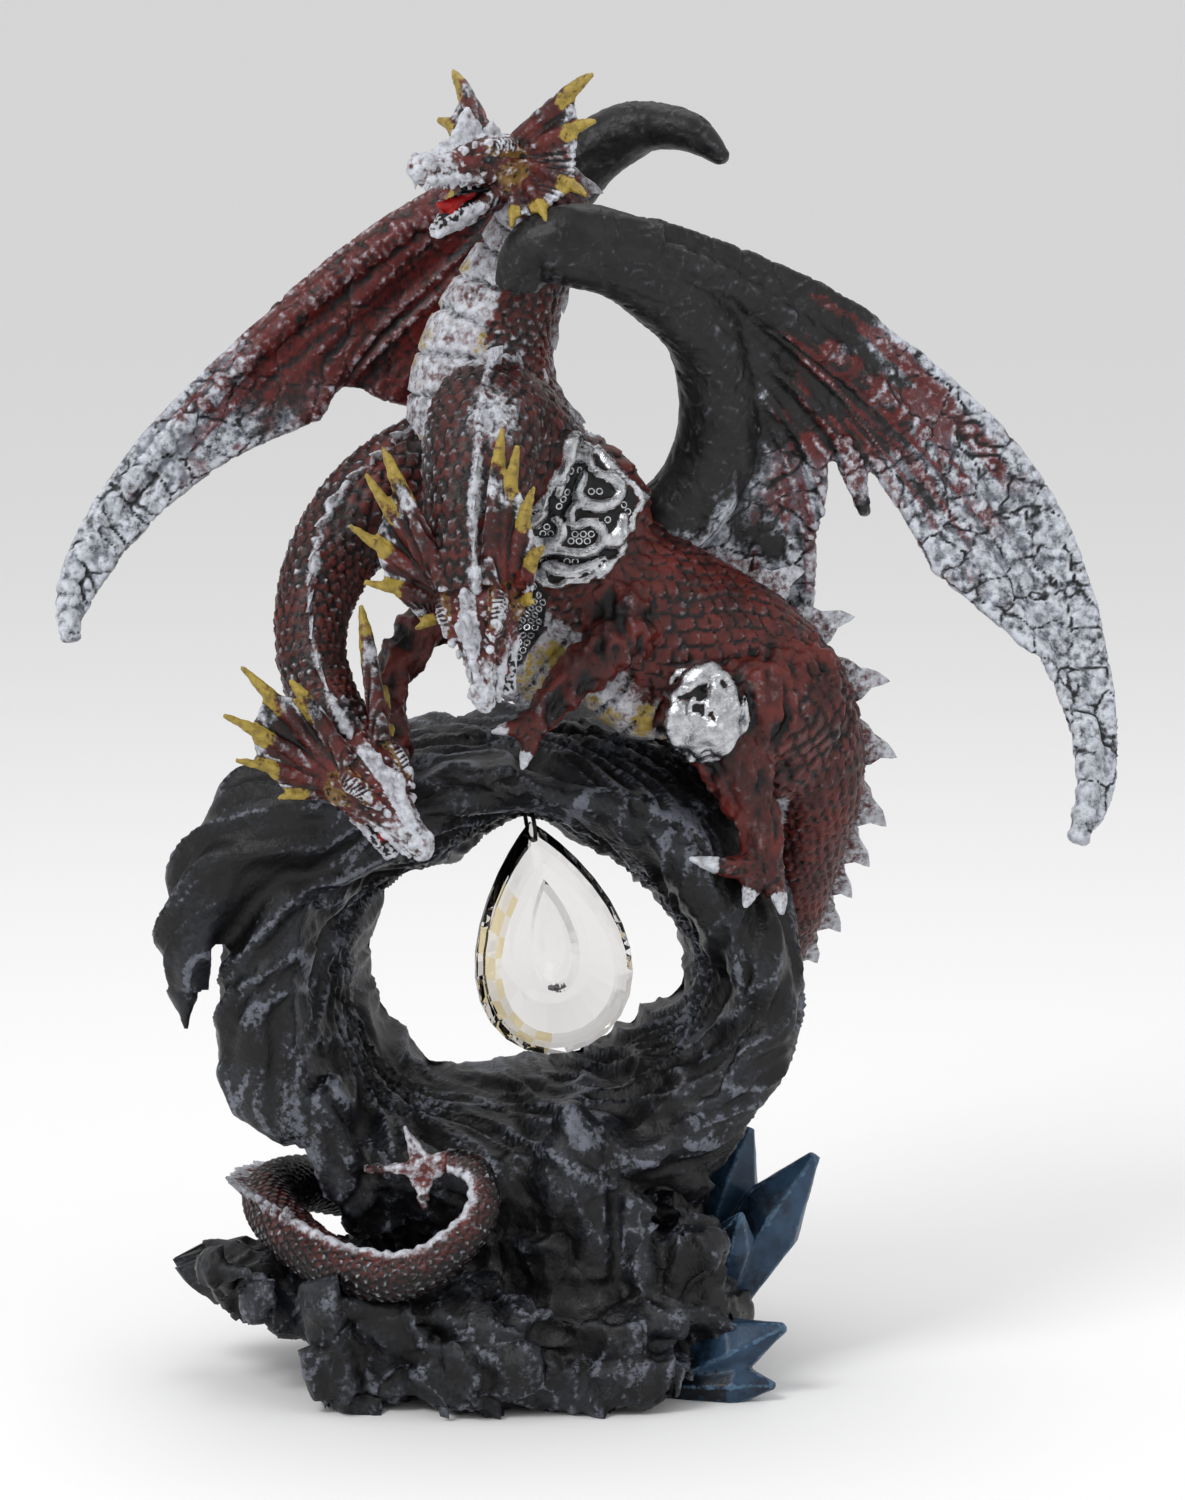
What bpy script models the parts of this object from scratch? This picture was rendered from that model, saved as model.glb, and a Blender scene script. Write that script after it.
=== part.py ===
"""A three-headed dragon climbing over a ring of rock, cast in resin, with a glass drop hung in the ring.

Run with: blender --background --python part.py
Metres, +Z up. The origin is the centre of the rock plinth's underside, and the dragon looks along -Y.
The free forms are written as a pose: millimetres at the real height, turned into metres by POSE.
"""

import math

import bmesh
import bpy
import numpy as np
from mathutils import Euler, Matrix, Vector

STATUE_HEIGHT = 0.275  # from the floor to the highest horn tip
POSE = STATUE_HEIGHT / 275  # metres in one unit of the pose, 1 mm at the real height
SEAT_GAP = 0.0005  # glue line between the castings
CRYSTAL_GAP = 0.0008  # the same, round the sharp edges of the crystals

DROP_HEIGHT = 0.050  # glass drop, tip to bottom
DROP_WIDTH = 0.034
DROP_DEPTH = 0.012
DROP_EDGE = 0.0014  # thickness of its thin rim
DROP_HOLE_RADIUS = 0.0010
DROP_HOLE_INSET = 0.0042  # from the tip of the drop down to the hole
DROP_TURN = math.radians(14)  # the drop hangs turned a little about its wire
DROP_LEAN = math.radians(-9)  # and leans to one side
DROP_PLACE = (-2.1, -4, 117.6)  # its tip, in the pose
HOOK_WIRE = 0.00045  # radius of the wire that carries the drop
WIRE_SIDES = 6
HOOK_EYE = 0.0040  # radius of the wire's eye
HOOK_SHANK = 0.006  # length of the wire set into the rock
HOOK_PLAY = 0.0005  # clearance round the wire in the hole and in the rock

VOXEL_ROCK = 2.0  # cell of the merged form, in units of the pose
VOXEL_DRAGON = 0.95
VOXEL_WING = 0.95
KEPT_ROCK = 0.049  # share of the merged form's faces that the finished solid keeps
KEPT_DRAGON = 0.0235
KEPT_WING = 0.021

# Centre lines of the dragon: x, y, z and radius of each station
TRUNK = (
    (1, -10, 174, 15), (13, -8, 167, 17.5), (27, -6, 157, 18.5), (41.5, -4, 149, 17.3), (51, -2, 139, 15.3),
    (56, 2, 126, 11.6), (54.5, 11, 110, 9.1), (51.5, 22, 93, 7.7), (45, 33, 77, 6.8), (37, 42, 58, 6.2),
    (25, 47, 42, 6), (6, 50, 31, 5.7), (-16, 49, 27, 5.5), (-38, 39, 29, 5.5), (-52, 20, 35, 5.6),
    (-57, -3, 37, 5.6), (-52, -24, 34, 5.2), (-41, -38, 30, 4.8), (-28, -44, 29.5, 4.4),
    (-18, -44.5, 35, 3.8), (-11.5, -42.5, 43, 3), (-12.5, -38.5, 50, 2.5), (-18, -36.5, 52, 2.2),
    (-24, -36, 50.8, 1.8),
)
TRUNK_BACKS = (  # which way the spine of each trunk station faces
    (0, 0.3, 1), (0.1, 0.3, 1), (0.2, 0.3, 0.95), (0.45, 0.25, 0.85), (0.8, 0.2, 0.55), (1, 0.1, 0.1),
    (1, 0, 0), (0.9, 0.3, -0.2), (0.8, 0.6, -0.2), (0.6, 0.8, 0), (0.3, 0.9, 0.3), (0, 0.9, 0.5),
    (-0.1, 0.9, 0.5), (-0.5, 0.7, 0.5), (-0.9, 0.3, 0.4), (-0.9, -0.1, 0.45), (-0.6, -0.3, 0.75),
    (-0.2, -0.3, 0.9), (0, -0.3, 0.95), (-0.2, -0.3, 0.9), (-0.6, -0.5, 0.6), (-0.3, -0.7, 0.6),
    (0, -0.6, 0.8), (0, -0.6, 0.8),
)
HIGH_NECK = (
    (4, -6, 179, 17), (-5, -10, 190, 16), (-11, -12, 203, 15), (-11, -12, 215, 13),
    (-7.5, -12, 226, 10.5), (-2, -13, 237, 9), (1.5, -16, 245, 8.5), (-1.5, -18, 251, 8),
)
HIGH_NECK_BACKS = ((0.6, 0.4, 0.7), (0.9, 0.3, 0.4), (1, 0.3, 0.2), (1, 0.3, 0.1)) + ((1, 0.2, -0.1),) * 4
MIDDLE_NECK = (
    (4, -8, 181, 14), (-4, -18, 196, 12.8), (-9.5, -31, 204.5, 11.3), (-11.5, -42, 200, 10.8),
    (-12.5, -48.5, 189.5, 9.8), (-12.5, -51.5, 180, 9.4), (-12, -53, 172, 8.6),
)
MIDDLE_NECK_BACKS = (
    (0.2, -0.3, 1), (0, -0.4, 0.9), (0, -0.4, 0.9), (0, -0.9, 0.45), (0, -1, 0.1), (0, -1, 0), (0, -1, 0),
)
LOW_NECK = (
    (-4, -4, 185, 13), (-18.5, -8, 191.5, 12), (-30.5, -16, 188, 10.6), (-39.5, -24, 180, 9),
    (-45, -31, 169.5, 7.5), (-46.2, -37.5, 159, 6.5), (-43.5, -42.5, 149, 6.3), (-38.5, -46.5, 140, 6.6),
)
LOW_NECK_BACKS = (
    (0, -0.2, 1), (-0.3, -0.5, 0.8), (-0.5, -0.8, 0.35), (-0.5, -0.85, 0.1), (-0.2, -1, 0), (0.1, -1, 0),
    (0.25, -0.95, 0), (0.3, -0.95, 0),
)
TAIL_BARBS = (  # corners of the three blades at the tip of the tail
    ((-21, -36.5, 53), (-21, -36.5, 48.5), (-36, -38, 50.5)),
    ((-22, -36.5, 52), (-27, -36.5, 52), (-28, -37.5, 59.5)),
    ((-22, -36.5, 49), (-27, -36.5, 49), (-24, -39.5, 43)),
)
LIMBS = (
    # right foreleg, with two toes spread on the rock
    ((12, -14, 168, 10), (17.5, -25, 161, 6.8), (10, -31, 154, 4.9), (4, -33, 148, 3.9), (-1.5, -35, 142, 3.4)),
    ((-1.5, -35.5, 142, 2.8), (-5.5, -37.5, 142, 2), (-10, -38.5, 141, 1.2)),
    ((-1.5, -35.5, 141.5, 2.8), (-2, -38, 138, 2.1), (-3.5, -39.5, 134, 1.2)),
    # right hind leg and its foot
    ((52, -8, 144, 14.5), (44, -17, 144, 12.5), (35, -23, 143, 9.2)),
    ((35, -23, 143, 8.6), (40.5, -23, 133, 7), (44.5, -24.5, 122, 4.8), (46, -27, 112, 4.2),
     (46, -28, 108.5, 4)),
    ((45, -28, 112, 3.4), (38, -31.5, 112.5, 2.5), (30.5, -33, 114.5, 1.3)),
    ((45, -28, 111, 3.2), (43.5, -32, 108, 2.4), (42, -34, 104.5, 1.3)),
    ((46, -28, 111, 3.2), (49, -31, 107, 2.4), (50, -33, 103, 1.3)),
    # left foreleg, seen past the middle head
    ((-8, -4, 170, 9), (-23, -8, 160, 5.2), (-30, -12, 151, 3.9), (-31.5, -16, 142, 3.5), (-30, -18, 134, 3.6)),
    # left hind leg, behind the ring
    ((51, 6, 143, 13), (44, 18, 142, 9.5), (46, 28, 128, 6.5), (48, 31, 114, 5), (46, 30, 106, 3.5)),
)
BALLS = (  # centre, radii and tilt: breast, belly, belly plates, shoulder plate, knee plate, haunch
    ((-1.5, -14, 153, 9.5, 9, 9), 0),
    ((27, -10, 147.5, 15, 12, 9.5), 20),
    ((19, -17, 145.5, 11.5, 8, 6.5), 28),
    ((8.5, -15, 183, 14, 10.5, 16), -12),
    ((34, -28.5, 143.5, 7.2, 5.4, 8.8), -10),
    ((50, -9, 137, 11, 10.5, 14), 15),
)
HEADS = (  # middle, the way the snout points, the way the crest points, width of the snout, tips left and right
    (
        (-10, -22, 255), (-0.743, -0.669, 0), (0, 0, 1), 1.0,
        ((-10.5, 20, 19), (-9.5, 22, 9.5), (-6, 23.5, -5.5), (0, 18, -11), (3.5, 11, -12)),
        ((-7.5, -20, 19), (-5, -22, 9), (-6, -22, -3), (-1, -16, -9), (3.5, -10, -11)),
    ),
    (
        (-11.5, -56, 168.5), (0.05, -0.34, -0.94), (-0.38, -0.86, 0.33), 0.8,
        ((-32, 13, 15), (-28, 16, 15), (-19, 19, 15), (-8, 19, 11), (1, 13, 3)),
        ((-32, -13, 15), (-27, -17, 15), (-17, -21, 15), (-6, -20, 11), (3, -13, 3)),
    ),
    (
        (-34.5, -49, 134), (0.60, -0.24, -0.76), (0.36, -0.82, 0.45), 0.97,
        ((-28, 16, 12), (-20, 14, 7), (-13, 14, 3), (-6, 12, -1), (1, 9, -5)),
        ((-22, -8.5, 15), (-30, -14, 12), (-24, -22.5, 10), (-16, -24, 5), (-6, -18.5, -1)),
    ),
)
SPINES = (  # root on the left of a head, in the head's own axes, and radius there, of each spine of the frill
    (-3.5, 4.5, 5, 2.4), (-4.5, 6, 3, 2.1), (-4.5, 7, 0.5, 1.9), (-3, 7, -2, 1.7), (-1, 6.5, -4, 1.5),
)
WEB_REACH = 0.72  # how far out along the spines the webs between them reach
WEB_SKIN = 2.3  # thickness of the webs, the crests and the wings' skin
CREST_SKIN = 2.4
WING_SKIN = 2.8

# The wings: each rib runs from the wrist to the wing's edge
WRIST_RIGHT = (1.5, -30, 239.5)
RIBS_RIGHT = (
    ((15, -26, 236.5), (25, -21, 230), (33, -16, 222), (36.5, -10, 211), (37, -6, 199), (32, -3, 186),
     (20, -1, 174)),
    ((23, -23.5, 231), (38, -12, 211), (44, -2, 188), (43, 4, 166)),
    ((25, -24, 230), (42, -12, 211), (51.5, -2, 190), (55.5, 4, 172), (57, 7, 157)),
    ((24, -24.5, 229), (40, -14, 214), (51, -6, 200), (57, -3, 188.5), (59, -2, 181)),
    ((23, -25, 230), (39, -16, 218.5), (50, -9, 207.5), (60, -6, 195.5)),
    ((24, -25, 231.5), (41, -16, 221.5), (56, -8.5, 208.5), (66, -5.5, 197), (71, -5.5, 190.5)),
    ((25, -25, 233), (43, -16, 223.5), (58, -8, 210.5), (71, -4, 195), (78, -5.5, 183), (81.5, -9, 171)),
    ((25, -25, 234.5), (43, -16, 225), (61, -8, 212.5), (79, -4, 193), (93, -6, 173), (103, -12, 153.5)),
    ((23, -26, 238), (43, -17, 228), (64, -8, 213), (83, -2, 193.5), (98, -2, 172.5), (108, -8, 152),
     (114, -18, 135), (111, -26, 117.5)),
    ((17, -26, 245.5), (37, -18, 239), (60, -8, 228.5), (79, -2, 215.5), (96, 0, 200.5), (108.5, -2, 183),
     (116.5, -6, 162.5), (120, -12, 142), (118.5, -20, 124.5), (112.5, -26, 116.7)),
)
SCALLOPS_RIGHT = (0.0, 0.0, 0.05, 0.0, 0.0, 0.03, 0.0, 0.12, 0.0)  # how far the edge draws in between ribs
BONES_RIGHT = ((0, 7.5, 9), (3, 3, 1.5), (8, 3.4, 2.2))  # rib, radius at the wrist and at its end
WRIST_LEFT = (21, 14, 261)
RIBS_LEFT = (
    ((10.5, 14, 254), (1, 16, 240), (-5, 16, 225.5), (-6.5, 14, 211), (-2, 10, 196.5), (5, 5, 182)),
    ((0, 14, 242.5), (-13, 16, 223), (-23, 14, 208), (-28, 12, 203.5)),
    ((-4, 14, 244.5), (-20, 14, 229.5), (-34, 11, 217.5), (-44.5, 8, 209)),
    ((-4, 14, 246.5), (-23, 14, 232), (-37.5, 10, 217.5), (-47, 4, 201.5)),
    ((-4, 14, 251), (-24, 13, 243), (-44, 9, 229), (-62, 3, 213), (-78, -3, 197), (-91, -9, 181),
     (-97, -15, 168), (-96.5, -18, 157.5)),
    ((-4, 14, 254.5), (-23, 14, 248.5), (-44, 10, 234.5), (-62.5, 4, 218.5), (-79, -2, 203), (-91, -8, 187.5),
     (-99, -14, 171), (-98.5, -18, 157.5)),
)
SCALLOPS_LEFT = (0.0, -0.03, 0.0, 0.09, 0.0)
BONES_LEFT = ((0, 5, 8), (3, 2.6, 1.4), (4, 3.4, 2.2))
CLAW_LEFT = ((6, 15, 253, 6), (14, 14, 259, 6.2), (22, 12, 262, 5.6), (31, 9, 261, 4.2), (38.5, 5, 255.5, 1.4))
KNUCKLE_RIGHT = (
    (-4, -28, 231, 4.4), (-2, -30, 238, 5.6), (4, -31, 241.5, 6), (12, -29, 242, 5.6), (24, -25, 239, 4.6),
)
SPIKE_RIGHT = ((62.5, -6, 198, 3.4), (65.5, -6.5, 190, 2.6), (67.5, -7, 182.5, 1.2))  # below the wing's edge

# The rock: radii of the ring about its axis, every so many degrees from +X
RING_AXIS = (-3, 86)  # x and z
RING_FRONT = -30
RING_BACK = 26
RING = (  # angle, inner radius in front, outer radius in front, outer radius behind, inner radius behind
    (0, 45, 56, 57, 34), (25, 38, 52, 58, 29), (50, 38, 47, 58, 25), (75, 39, 45, 55, 27),
    (90, 39.5, 45, 54, 30.5),
    (103, 39, 46, 54, 27), (127, 37, 52, 56, 24.5), (145, 41, 60, 58, 31), (163, 48, 63, 60, 32.5),
    (180, 47.5, 62.5, 60, 33), (189, 48, 64.5, 59, 33), (197, 48.5, 66.5, 58, 33), (204, 48.5, 67, 57, 32.5),
    (211, 48, 61, 56, 32), (217, 48, 54, 56, 31.5), (240, 40, 53, 55, 29),
    (270, 33.5, 52, 54, 22.5), (300, 33.5, 52, 54, 22.5), (330, 39, 54, 55, 26.5), (345, 43, 57, 56, 31),
)
HORN_OF_ROCK = (  # the tongue of rock that curls down at the left
    (-40, -20, 127, 15), (-52, -23, 122, 14), (-62, -25, 114, 11.5), (-69, -26, 105, 8.8),
    (-73.3, -26, 95, 6.2),
    (-73.2, -26, 88, 4.8), (-73.6, -26, 82, 3), (-73, -26, 76.5, 1.2),
)
SPIRES = (  # upright folds of rock in front of the ring
    ((5, -24, 24, 13), (6, -27, 42, 9.5), (6.5, -29, 55, 6), (6.5, -29, 62, 3)),
    ((20, -22, 24, 9), (19, -25, 38, 5), (17, -26, 48, 2.4)),
    ((-6, -20, 26, 8), (-5, -24, 42, 5), (-4, -25, 52, 2.4)),
    ((27, -18, 40, 8), (35, -22, 55, 6.5), (43, -25, 66, 5)),
    ((-34, -18, 34, 7), (-41, -23, 50, 6.5), (-46, -27, 66, 5.5)),
)
BLOCKS = (  # middle, size and seed of the broken blocks of the plinth
    ((0, -2, 12, 86, 78, 27), 3),
    ((-4, 4, 34, 76, 50, 34), 5),
    ((-8, -30, 14, 76, 32, 24), 8),
    ((-60, -14, 20, 26, 30, 16), 13),
    ((-48, -16, 17, 22, 30, 16), 2),
    ((-37, -31, 12, 22, 26, 25), 21),
    ((26, -20, 26, 24, 30, 20), 34),
    ((26, -7, 12, 26, 42, 25), 55),
    ((-11, -43, 7, 20, 14, 15), 89),
    ((13, -39, 10, 18, 13, 18), 4),
    ((0, 30, 24, 70, 26, 44), 7),
)
ROCK_GRAIN = 4.5  # height of the rock's lumps
ROCK_GRAIN_SIZE = 15  # their spacing

CRYSTALS_HIGH = (  # foot, point and radius of each blue crystal
    ((35, -3, 12), (58, -7, 47), 8.2),
    ((34, 4, 20), (44.5, 7, 50), 7.6),
    ((39, -8, 21), (42, -24, 38), 4.4),
)
CRYSTALS_LOW = (
    ((24, -22, 1), (51, -30, 15.5), 6.8),
    ((27, -26, 2), (49, -32, 3.5), 5.2),
)


def clear_scene():
    for thing in list(bpy.data.objects):
        bpy.data.objects.remove(thing, do_unlink=True)


def paint(name, colour, roughness, metallic=0.0, transmission=0.0):
    made = bpy.data.materials.new(name)
    made.use_nodes = True
    shader = made.node_tree.nodes["Principled BSDF"]
    shader.inputs["Base Color"].default_value = (*colour, 1)
    shader.inputs["Roughness"].default_value = roughness
    shader.inputs["Metallic"].default_value = metallic
    shader.inputs["Transmission Weight"].default_value = transmission
    made.diffuse_color = (*colour, 1)
    return made


def smooth_line(stations, steps):
    """A smooth curve through the stations, steps points to a span, further columns included."""
    given = np.array(stations, float)
    ends = np.vstack([2 * given[0] - given[1], given, 2 * given[-1] - given[-2]])
    made = []
    for a, b, c, d in zip(ends, ends[1:], ends[2:], ends[3:]):
        for t in np.linspace(0, 1, steps, endpoint=False):
            bend = 2 * a - 5 * b + 4 * c - d
            made.append(0.5 * (2 * b + (c - a) * t + bend * t**2 + (3 * b - a - 3 * c + d) * t**3))
    return np.array([*made, given[-1]])


def unit(v):
    return v / np.maximum(np.linalg.norm(v, axis=-1, keepdims=True), 1e-9)


def add_tube(bm, stations, sides=10, steps=3):
    """A round limb with closed ends through x, y, z, radius stations."""
    line = smooth_line(stations, steps)
    along = unit(np.gradient(line[:, :3], axis=0))
    across = np.cross(along[0], (0.3, 0.5, 0.8))
    turns = np.linspace(0, 2 * math.pi, sides, endpoint=False)
    rings = []
    for point, way in zip(line, along):
        across = unit(across - way * np.dot(across, way))
        other = np.cross(way, across)
        rings.append([
            bm.verts.new(Vector(point[:3] + point[3] * (math.cos(a) * across + math.sin(a) * other)) * POSE)
            for a in turns
        ])
    for low, high in zip(rings, rings[1:]):
        for i in range(sides):
            bm.faces.new((low[i], low[(i + 1) % sides], high[(i + 1) % sides], high[i]))
    bm.faces.new(rings[0][::-1])
    bm.faces.new(rings[-1])


def add_ball(bm, ball, tilt):
    """An ellipsoid of x, y, z and its three radii, tilted about Y."""
    x, y, z, *radii = ball
    place = Matrix.Translation(Vector((x, y, z)) * POSE) @ Matrix.Rotation(math.radians(tilt), 4, "Y")
    size = Matrix.Diagonal((*(r * POSE for r in radii), 1))
    bmesh.ops.create_icosphere(bm, subdivisions=3, radius=1, matrix=place @ size)


def add_hull(bm, corners):
    """The smallest convex solid round some corners."""
    corners = [bm.verts.new(Vector(c) * POSE) for c in corners]
    bmesh.ops.convex_hull(bm, input=corners)
    bmesh.ops.delete(bm, geom=[v for v in corners if not v.link_faces], context="VERTS")


def add_web(bm, corners, thickness):
    """A thin plate with three or four corners."""
    corners = np.array(corners, float)
    face = unit(np.cross(corners[1] - corners[0], corners[2] - corners[0])) * thickness / 2
    add_hull(bm, [*(corners + face), *(corners - face)])


def add_crest(bm, stations, backs, pitch, height, first=0.0, last=1.0):
    """Upright plates like saw teeth along the back of a limb, smaller where the limb is thinner."""
    line = smooth_line(stations, 12)
    faces = unit(smooth_line(backs, 12))
    run = np.concatenate([[0], np.cumsum(np.linalg.norm(np.diff(line[:, :3], axis=0), axis=1))])
    thickest = line[:, 3].max()
    place = first * run[-1]
    while place < last * run[-1]:
        point = np.array([np.interp(place, run, line[:, k]) for k in range(4)])
        after = np.array([np.interp(place + 1, run, line[:, k]) for k in range(3)])
        back = unit(np.array([np.interp(place, run, faces[:, k]) for k in range(3)]))
        way = unit(after - point[:3])
        back = unit(back - way * np.dot(back, way))
        share = 0.35 + 0.65 * point[3] / thickest
        root = point[:3] + back * (point[3] - 1.2)
        reach = pitch * share / 2
        tip = root + back * (height * share + 1.2) + way * reach * 0.7
        add_web(bm, (root - way * reach, root + way * reach, tip + way * 0.6, tip - way * 0.6), 2 + share)
        place += pitch * (0.45 + 0.55 * share)


def head_axes(middle, snout, crest):
    """The matrix from a head's own axes, +X out of the snout and +Z out of the crest, to the pose."""
    forward = Vector(snout).normalized()
    left = Vector(crest).cross(forward).normalized()
    axes = Matrix((forward, left, forward.cross(left))).transposed().to_4x4()
    return Matrix.Translation(Vector(middle)) @ axes


def add_head(bm, axes, nose, left, right):
    """A horned head with an open mouth, and a webbed frill of spines on each side."""

    def at(*point):
        return tuple(axes @ Vector(point))

    def ball(x, y, z, *radii):
        shape = Matrix.Translation((x, y, z)) @ Matrix.Diagonal((*radii, 1))
        matrix = Matrix.Scale(POSE, 4) @ axes @ shape
        bmesh.ops.create_icosphere(bm, subdivisions=2, radius=1, matrix=matrix)

    def tube(*stations):
        add_tube(bm, [(*at(*s[:3]), s[3]) for s in stations], sides=8)

    ball(-1, 0, 0, 8, 7.4, 6.2)
    tube((2, 0, 0.6, 6.2), (8, 0, 0.6, 4.6 * nose), (13, 0, 0.2, 3.6 * nose), (18, 0, -0.2, 2.8 * nose))
    ball(17.6, 0, 0.7, 3.2, 3.1 * nose, 2.4)
    tube((-2, 0, -4.5, 4), (5, 0, -8.4, 2.7), (11, 0, -11, 2.2), (15, 0, -12.2, 1.5))
    add_web(bm, (at(-5, 0, 4), at(4, 0, 4), at(-0.6, 0, 9.4)), CREST_SKIN)
    add_web(bm, (at(0, 0, 4), at(12, 0, 3.4), at(6, 0, 12.2)), CREST_SKIN)
    for side, tips in ((1, left), (-1, right)):
        tube((-4, 5.2 * side, 3.4, 1.7), (2, 5.8 * side, 4.2, 2), (7.5, 3.6 * side, 3.6, 1.3))
        ball(-1.5, 5.8 * side, -2.2, 4.4, 2.8, 4)
        spines = []
        for (x, y, z, radius), tip in zip(SPINES, tips):
            spines.append((np.array(at(x, y * side, z)), np.array(at(*tip)), radius))
        for base, tip, radius in spines:
            add_tube(bm, [(*base, radius), (*(base * 0.5 + tip * 0.5), radius * 0.9), (*tip, 1.2)], sides=6)
        for (base, tip, _), (base2, tip2, _) in zip(spines, spines[1:]):
            reach, reach2 = base + (tip - base) * WEB_REACH, base2 + (tip2 - base2) * WEB_REACH
            add_web(bm, (base, base2, reach2, reach), WEB_SKIN)


def membrane(wrist, ribs, scallops, across, along):
    """Points of a wing's skin, one row to a ray from the wrist to the wing's edge."""
    rays = [smooth_line((wrist, *rib), 8) for rib in ribs]
    spread = []
    for ray in rays:
        run = np.concatenate([[0], np.cumsum(np.linalg.norm(np.diff(ray, axis=0), axis=1))])
        spread.append((ray, run / run[-1]))
    rows = []
    for k, scallop in enumerate(scallops):
        for s in np.linspace(0, 1, across, endpoint=(k == len(scallops) - 1)):
            share = np.linspace(0.02, 1, along) * (1 - scallop * math.sin(math.pi * s))
            near, far = (
                np.stack([np.interp(share, run, ray[:, c]) for c in range(3)], axis=1)
                for ray, run in spread[k : k + 2]
            )
            rows.append(near * (1 - s) + far * s)
    return np.array(rows)


def add_shell(bm, rows, thickness):
    """A closed sheet of one thickness on a grid of points."""
    face = unit(np.cross(np.gradient(rows, axis=0), np.gradient(rows, axis=1))) * thickness / 2
    sides = []
    for sheet in (rows + face, rows - face):
        sides.append([[bm.verts.new(Vector(p) * POSE) for p in row] for row in sheet])
    for side in sides:
        for row, after in zip(side, side[1:]):
            for j in range(len(row) - 1):
                bm.faces.new((row[j], row[j + 1], after[j + 1], after[j]))
    last, end = len(rows) - 1, len(rows[0]) - 1
    rim = [(0, j) for j in range(end)] + [(i, end) for i in range(last)]
    rim += [(last, j) for j in range(end, 0, -1)] + [(i, 0) for i in range(last, 0, -1)]
    for (i, j), (k, m) in zip(rim, rim[1:] + rim[:1]):
        bm.faces.new((sides[0][i][j], sides[0][k][m], sides[1][k][m], sides[1][i][j]))


def add_ring(bm):
    """The ring of rock: a funnel, wider in front, with a thick lumpy wall."""
    table = np.array([*RING, (360, *RING[0][1:])], float)
    middle = (RING_FRONT + RING_BACK) / 2
    loops = []
    for angle in np.arange(0, 360, 7.5):
        inner_front, outer_front, outer_back, inner_back = (
            np.interp(angle, table[:, 0], table[:, k]) for k in range(1, 5)
        )
        section = (
            (inner_front, RING_FRONT + 2), ((inner_front + outer_front) / 2, RING_FRONT - 1),
            (outer_front, RING_FRONT + 4), ((outer_front + outer_back) / 2 + 1.5, middle),
            (outer_back, RING_BACK - 5), ((outer_back + inner_back) / 2, RING_BACK),
            (inner_back, RING_BACK - 3), ((inner_front + inner_back) / 2 - 1, middle),
        )
        turn = math.radians(angle)
        loops.append([
            bm.verts.new(
                Vector((RING_AXIS[0] + r * math.cos(turn), y, RING_AXIS[1] + r * math.sin(turn))) * POSE
            )
            for r, y in section
        ])
    for loop, after in zip(loops, loops[1:] + loops[:1]):
        for i in range(len(loop)):
            j = (i + 1) % len(loop)
            bm.faces.new((loop[i], loop[j], after[j], after[i]))


def add_block(bm, block, seed):
    """A broken block of rock: the hull of points scattered over a box."""
    x, y, z, *size = block
    scatter = np.random.default_rng(seed).uniform(-0.5, 0.5, (26, 3))
    largest = np.abs(scatter).max(axis=1, keepdims=True)
    on_box = scatter / largest * 0.5
    add_hull(bm, np.array((x, y, z)) + on_box * np.array(size))


def add_crystal(bm, foot, point, radius):
    """A six-sided crystal with a slanted tip."""
    foot, point = np.array(foot, float), np.array(point, float)
    way = unit(point - foot)
    across = unit(np.cross(way, (0, 1, 0)))
    other = np.cross(way, across)
    corners = []
    for share, size in ((0, 0.85), (0.62, 1), (1, 0.16)):
        for i in range(6):
            turn = i * math.pi / 3 + 0.35
            lean = 0.06 * math.cos(turn) if share else 0
            spot = foot + (point - foot) * (share + lean * (share < 1))
            corners.append(spot + radius * size * (math.cos(turn) * across + math.sin(turn) * other))
    add_hull(bm, corners)


def finish(name, bm, material):
    """Makes an object of what has been added, with its faces pointing outwards."""
    bmesh.ops.recalc_face_normals(bm, faces=bm.faces)
    mesh = bpy.data.meshes.new(name)
    bm.to_mesh(mesh)
    bm.free()
    made = bpy.data.objects.new(name, mesh)
    bpy.context.scene.collection.objects.link(made)
    if material:
        mesh.materials.append(material)
    return made


def merge(thing, voxel, kept, grain=0.0):
    """Merges overlapping shapes into one skin, roughens it, and keeps a share of its faces."""
    one = thing.modifiers.new("one_skin", "REMESH")
    one.mode = "VOXEL"
    one.voxel_size = voxel * POSE
    soft = thing.modifiers.new("soften", "SMOOTH")
    soft.iterations = 2
    if grain:
        lumps = bpy.data.textures.new(thing.name + "_lumps", "CLOUDS")
        lumps.noise_scale = ROCK_GRAIN_SIZE * POSE
        lumps.noise_depth = 2
        rough = thing.modifiers.new("lumps", "DISPLACE")
        rough.texture = lumps
        rough.strength = grain * POSE
        rough.mid_level = 0.5
    fewer = thing.modifiers.new("fewer_faces", "DECIMATE")
    fewer.ratio = kept


def hide(thing):
    thing.hide_render = True
    thing.display_type = "WIRE"
    return thing


def grown(thing, gap=SEAT_GAP):
    """A hidden copy of a piece, larger by the glue line, that cuts its seat in a neighbour."""
    copy = hide(thing.copy())
    copy.name = thing.name + "_seat"
    bpy.context.scene.collection.objects.link(copy)
    larger = copy.modifiers.new("glue_line", "DISPLACE")
    larger.strength = gap
    larger.mid_level = 0
    return copy


def cut(thing, cutter):
    seat = thing.modifiers.new("cut_" + cutter.name[:40], "BOOLEAN")
    seat.operation = "DIFFERENCE"
    seat.solver = "MANIFOLD"
    seat.object = cutter


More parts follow.
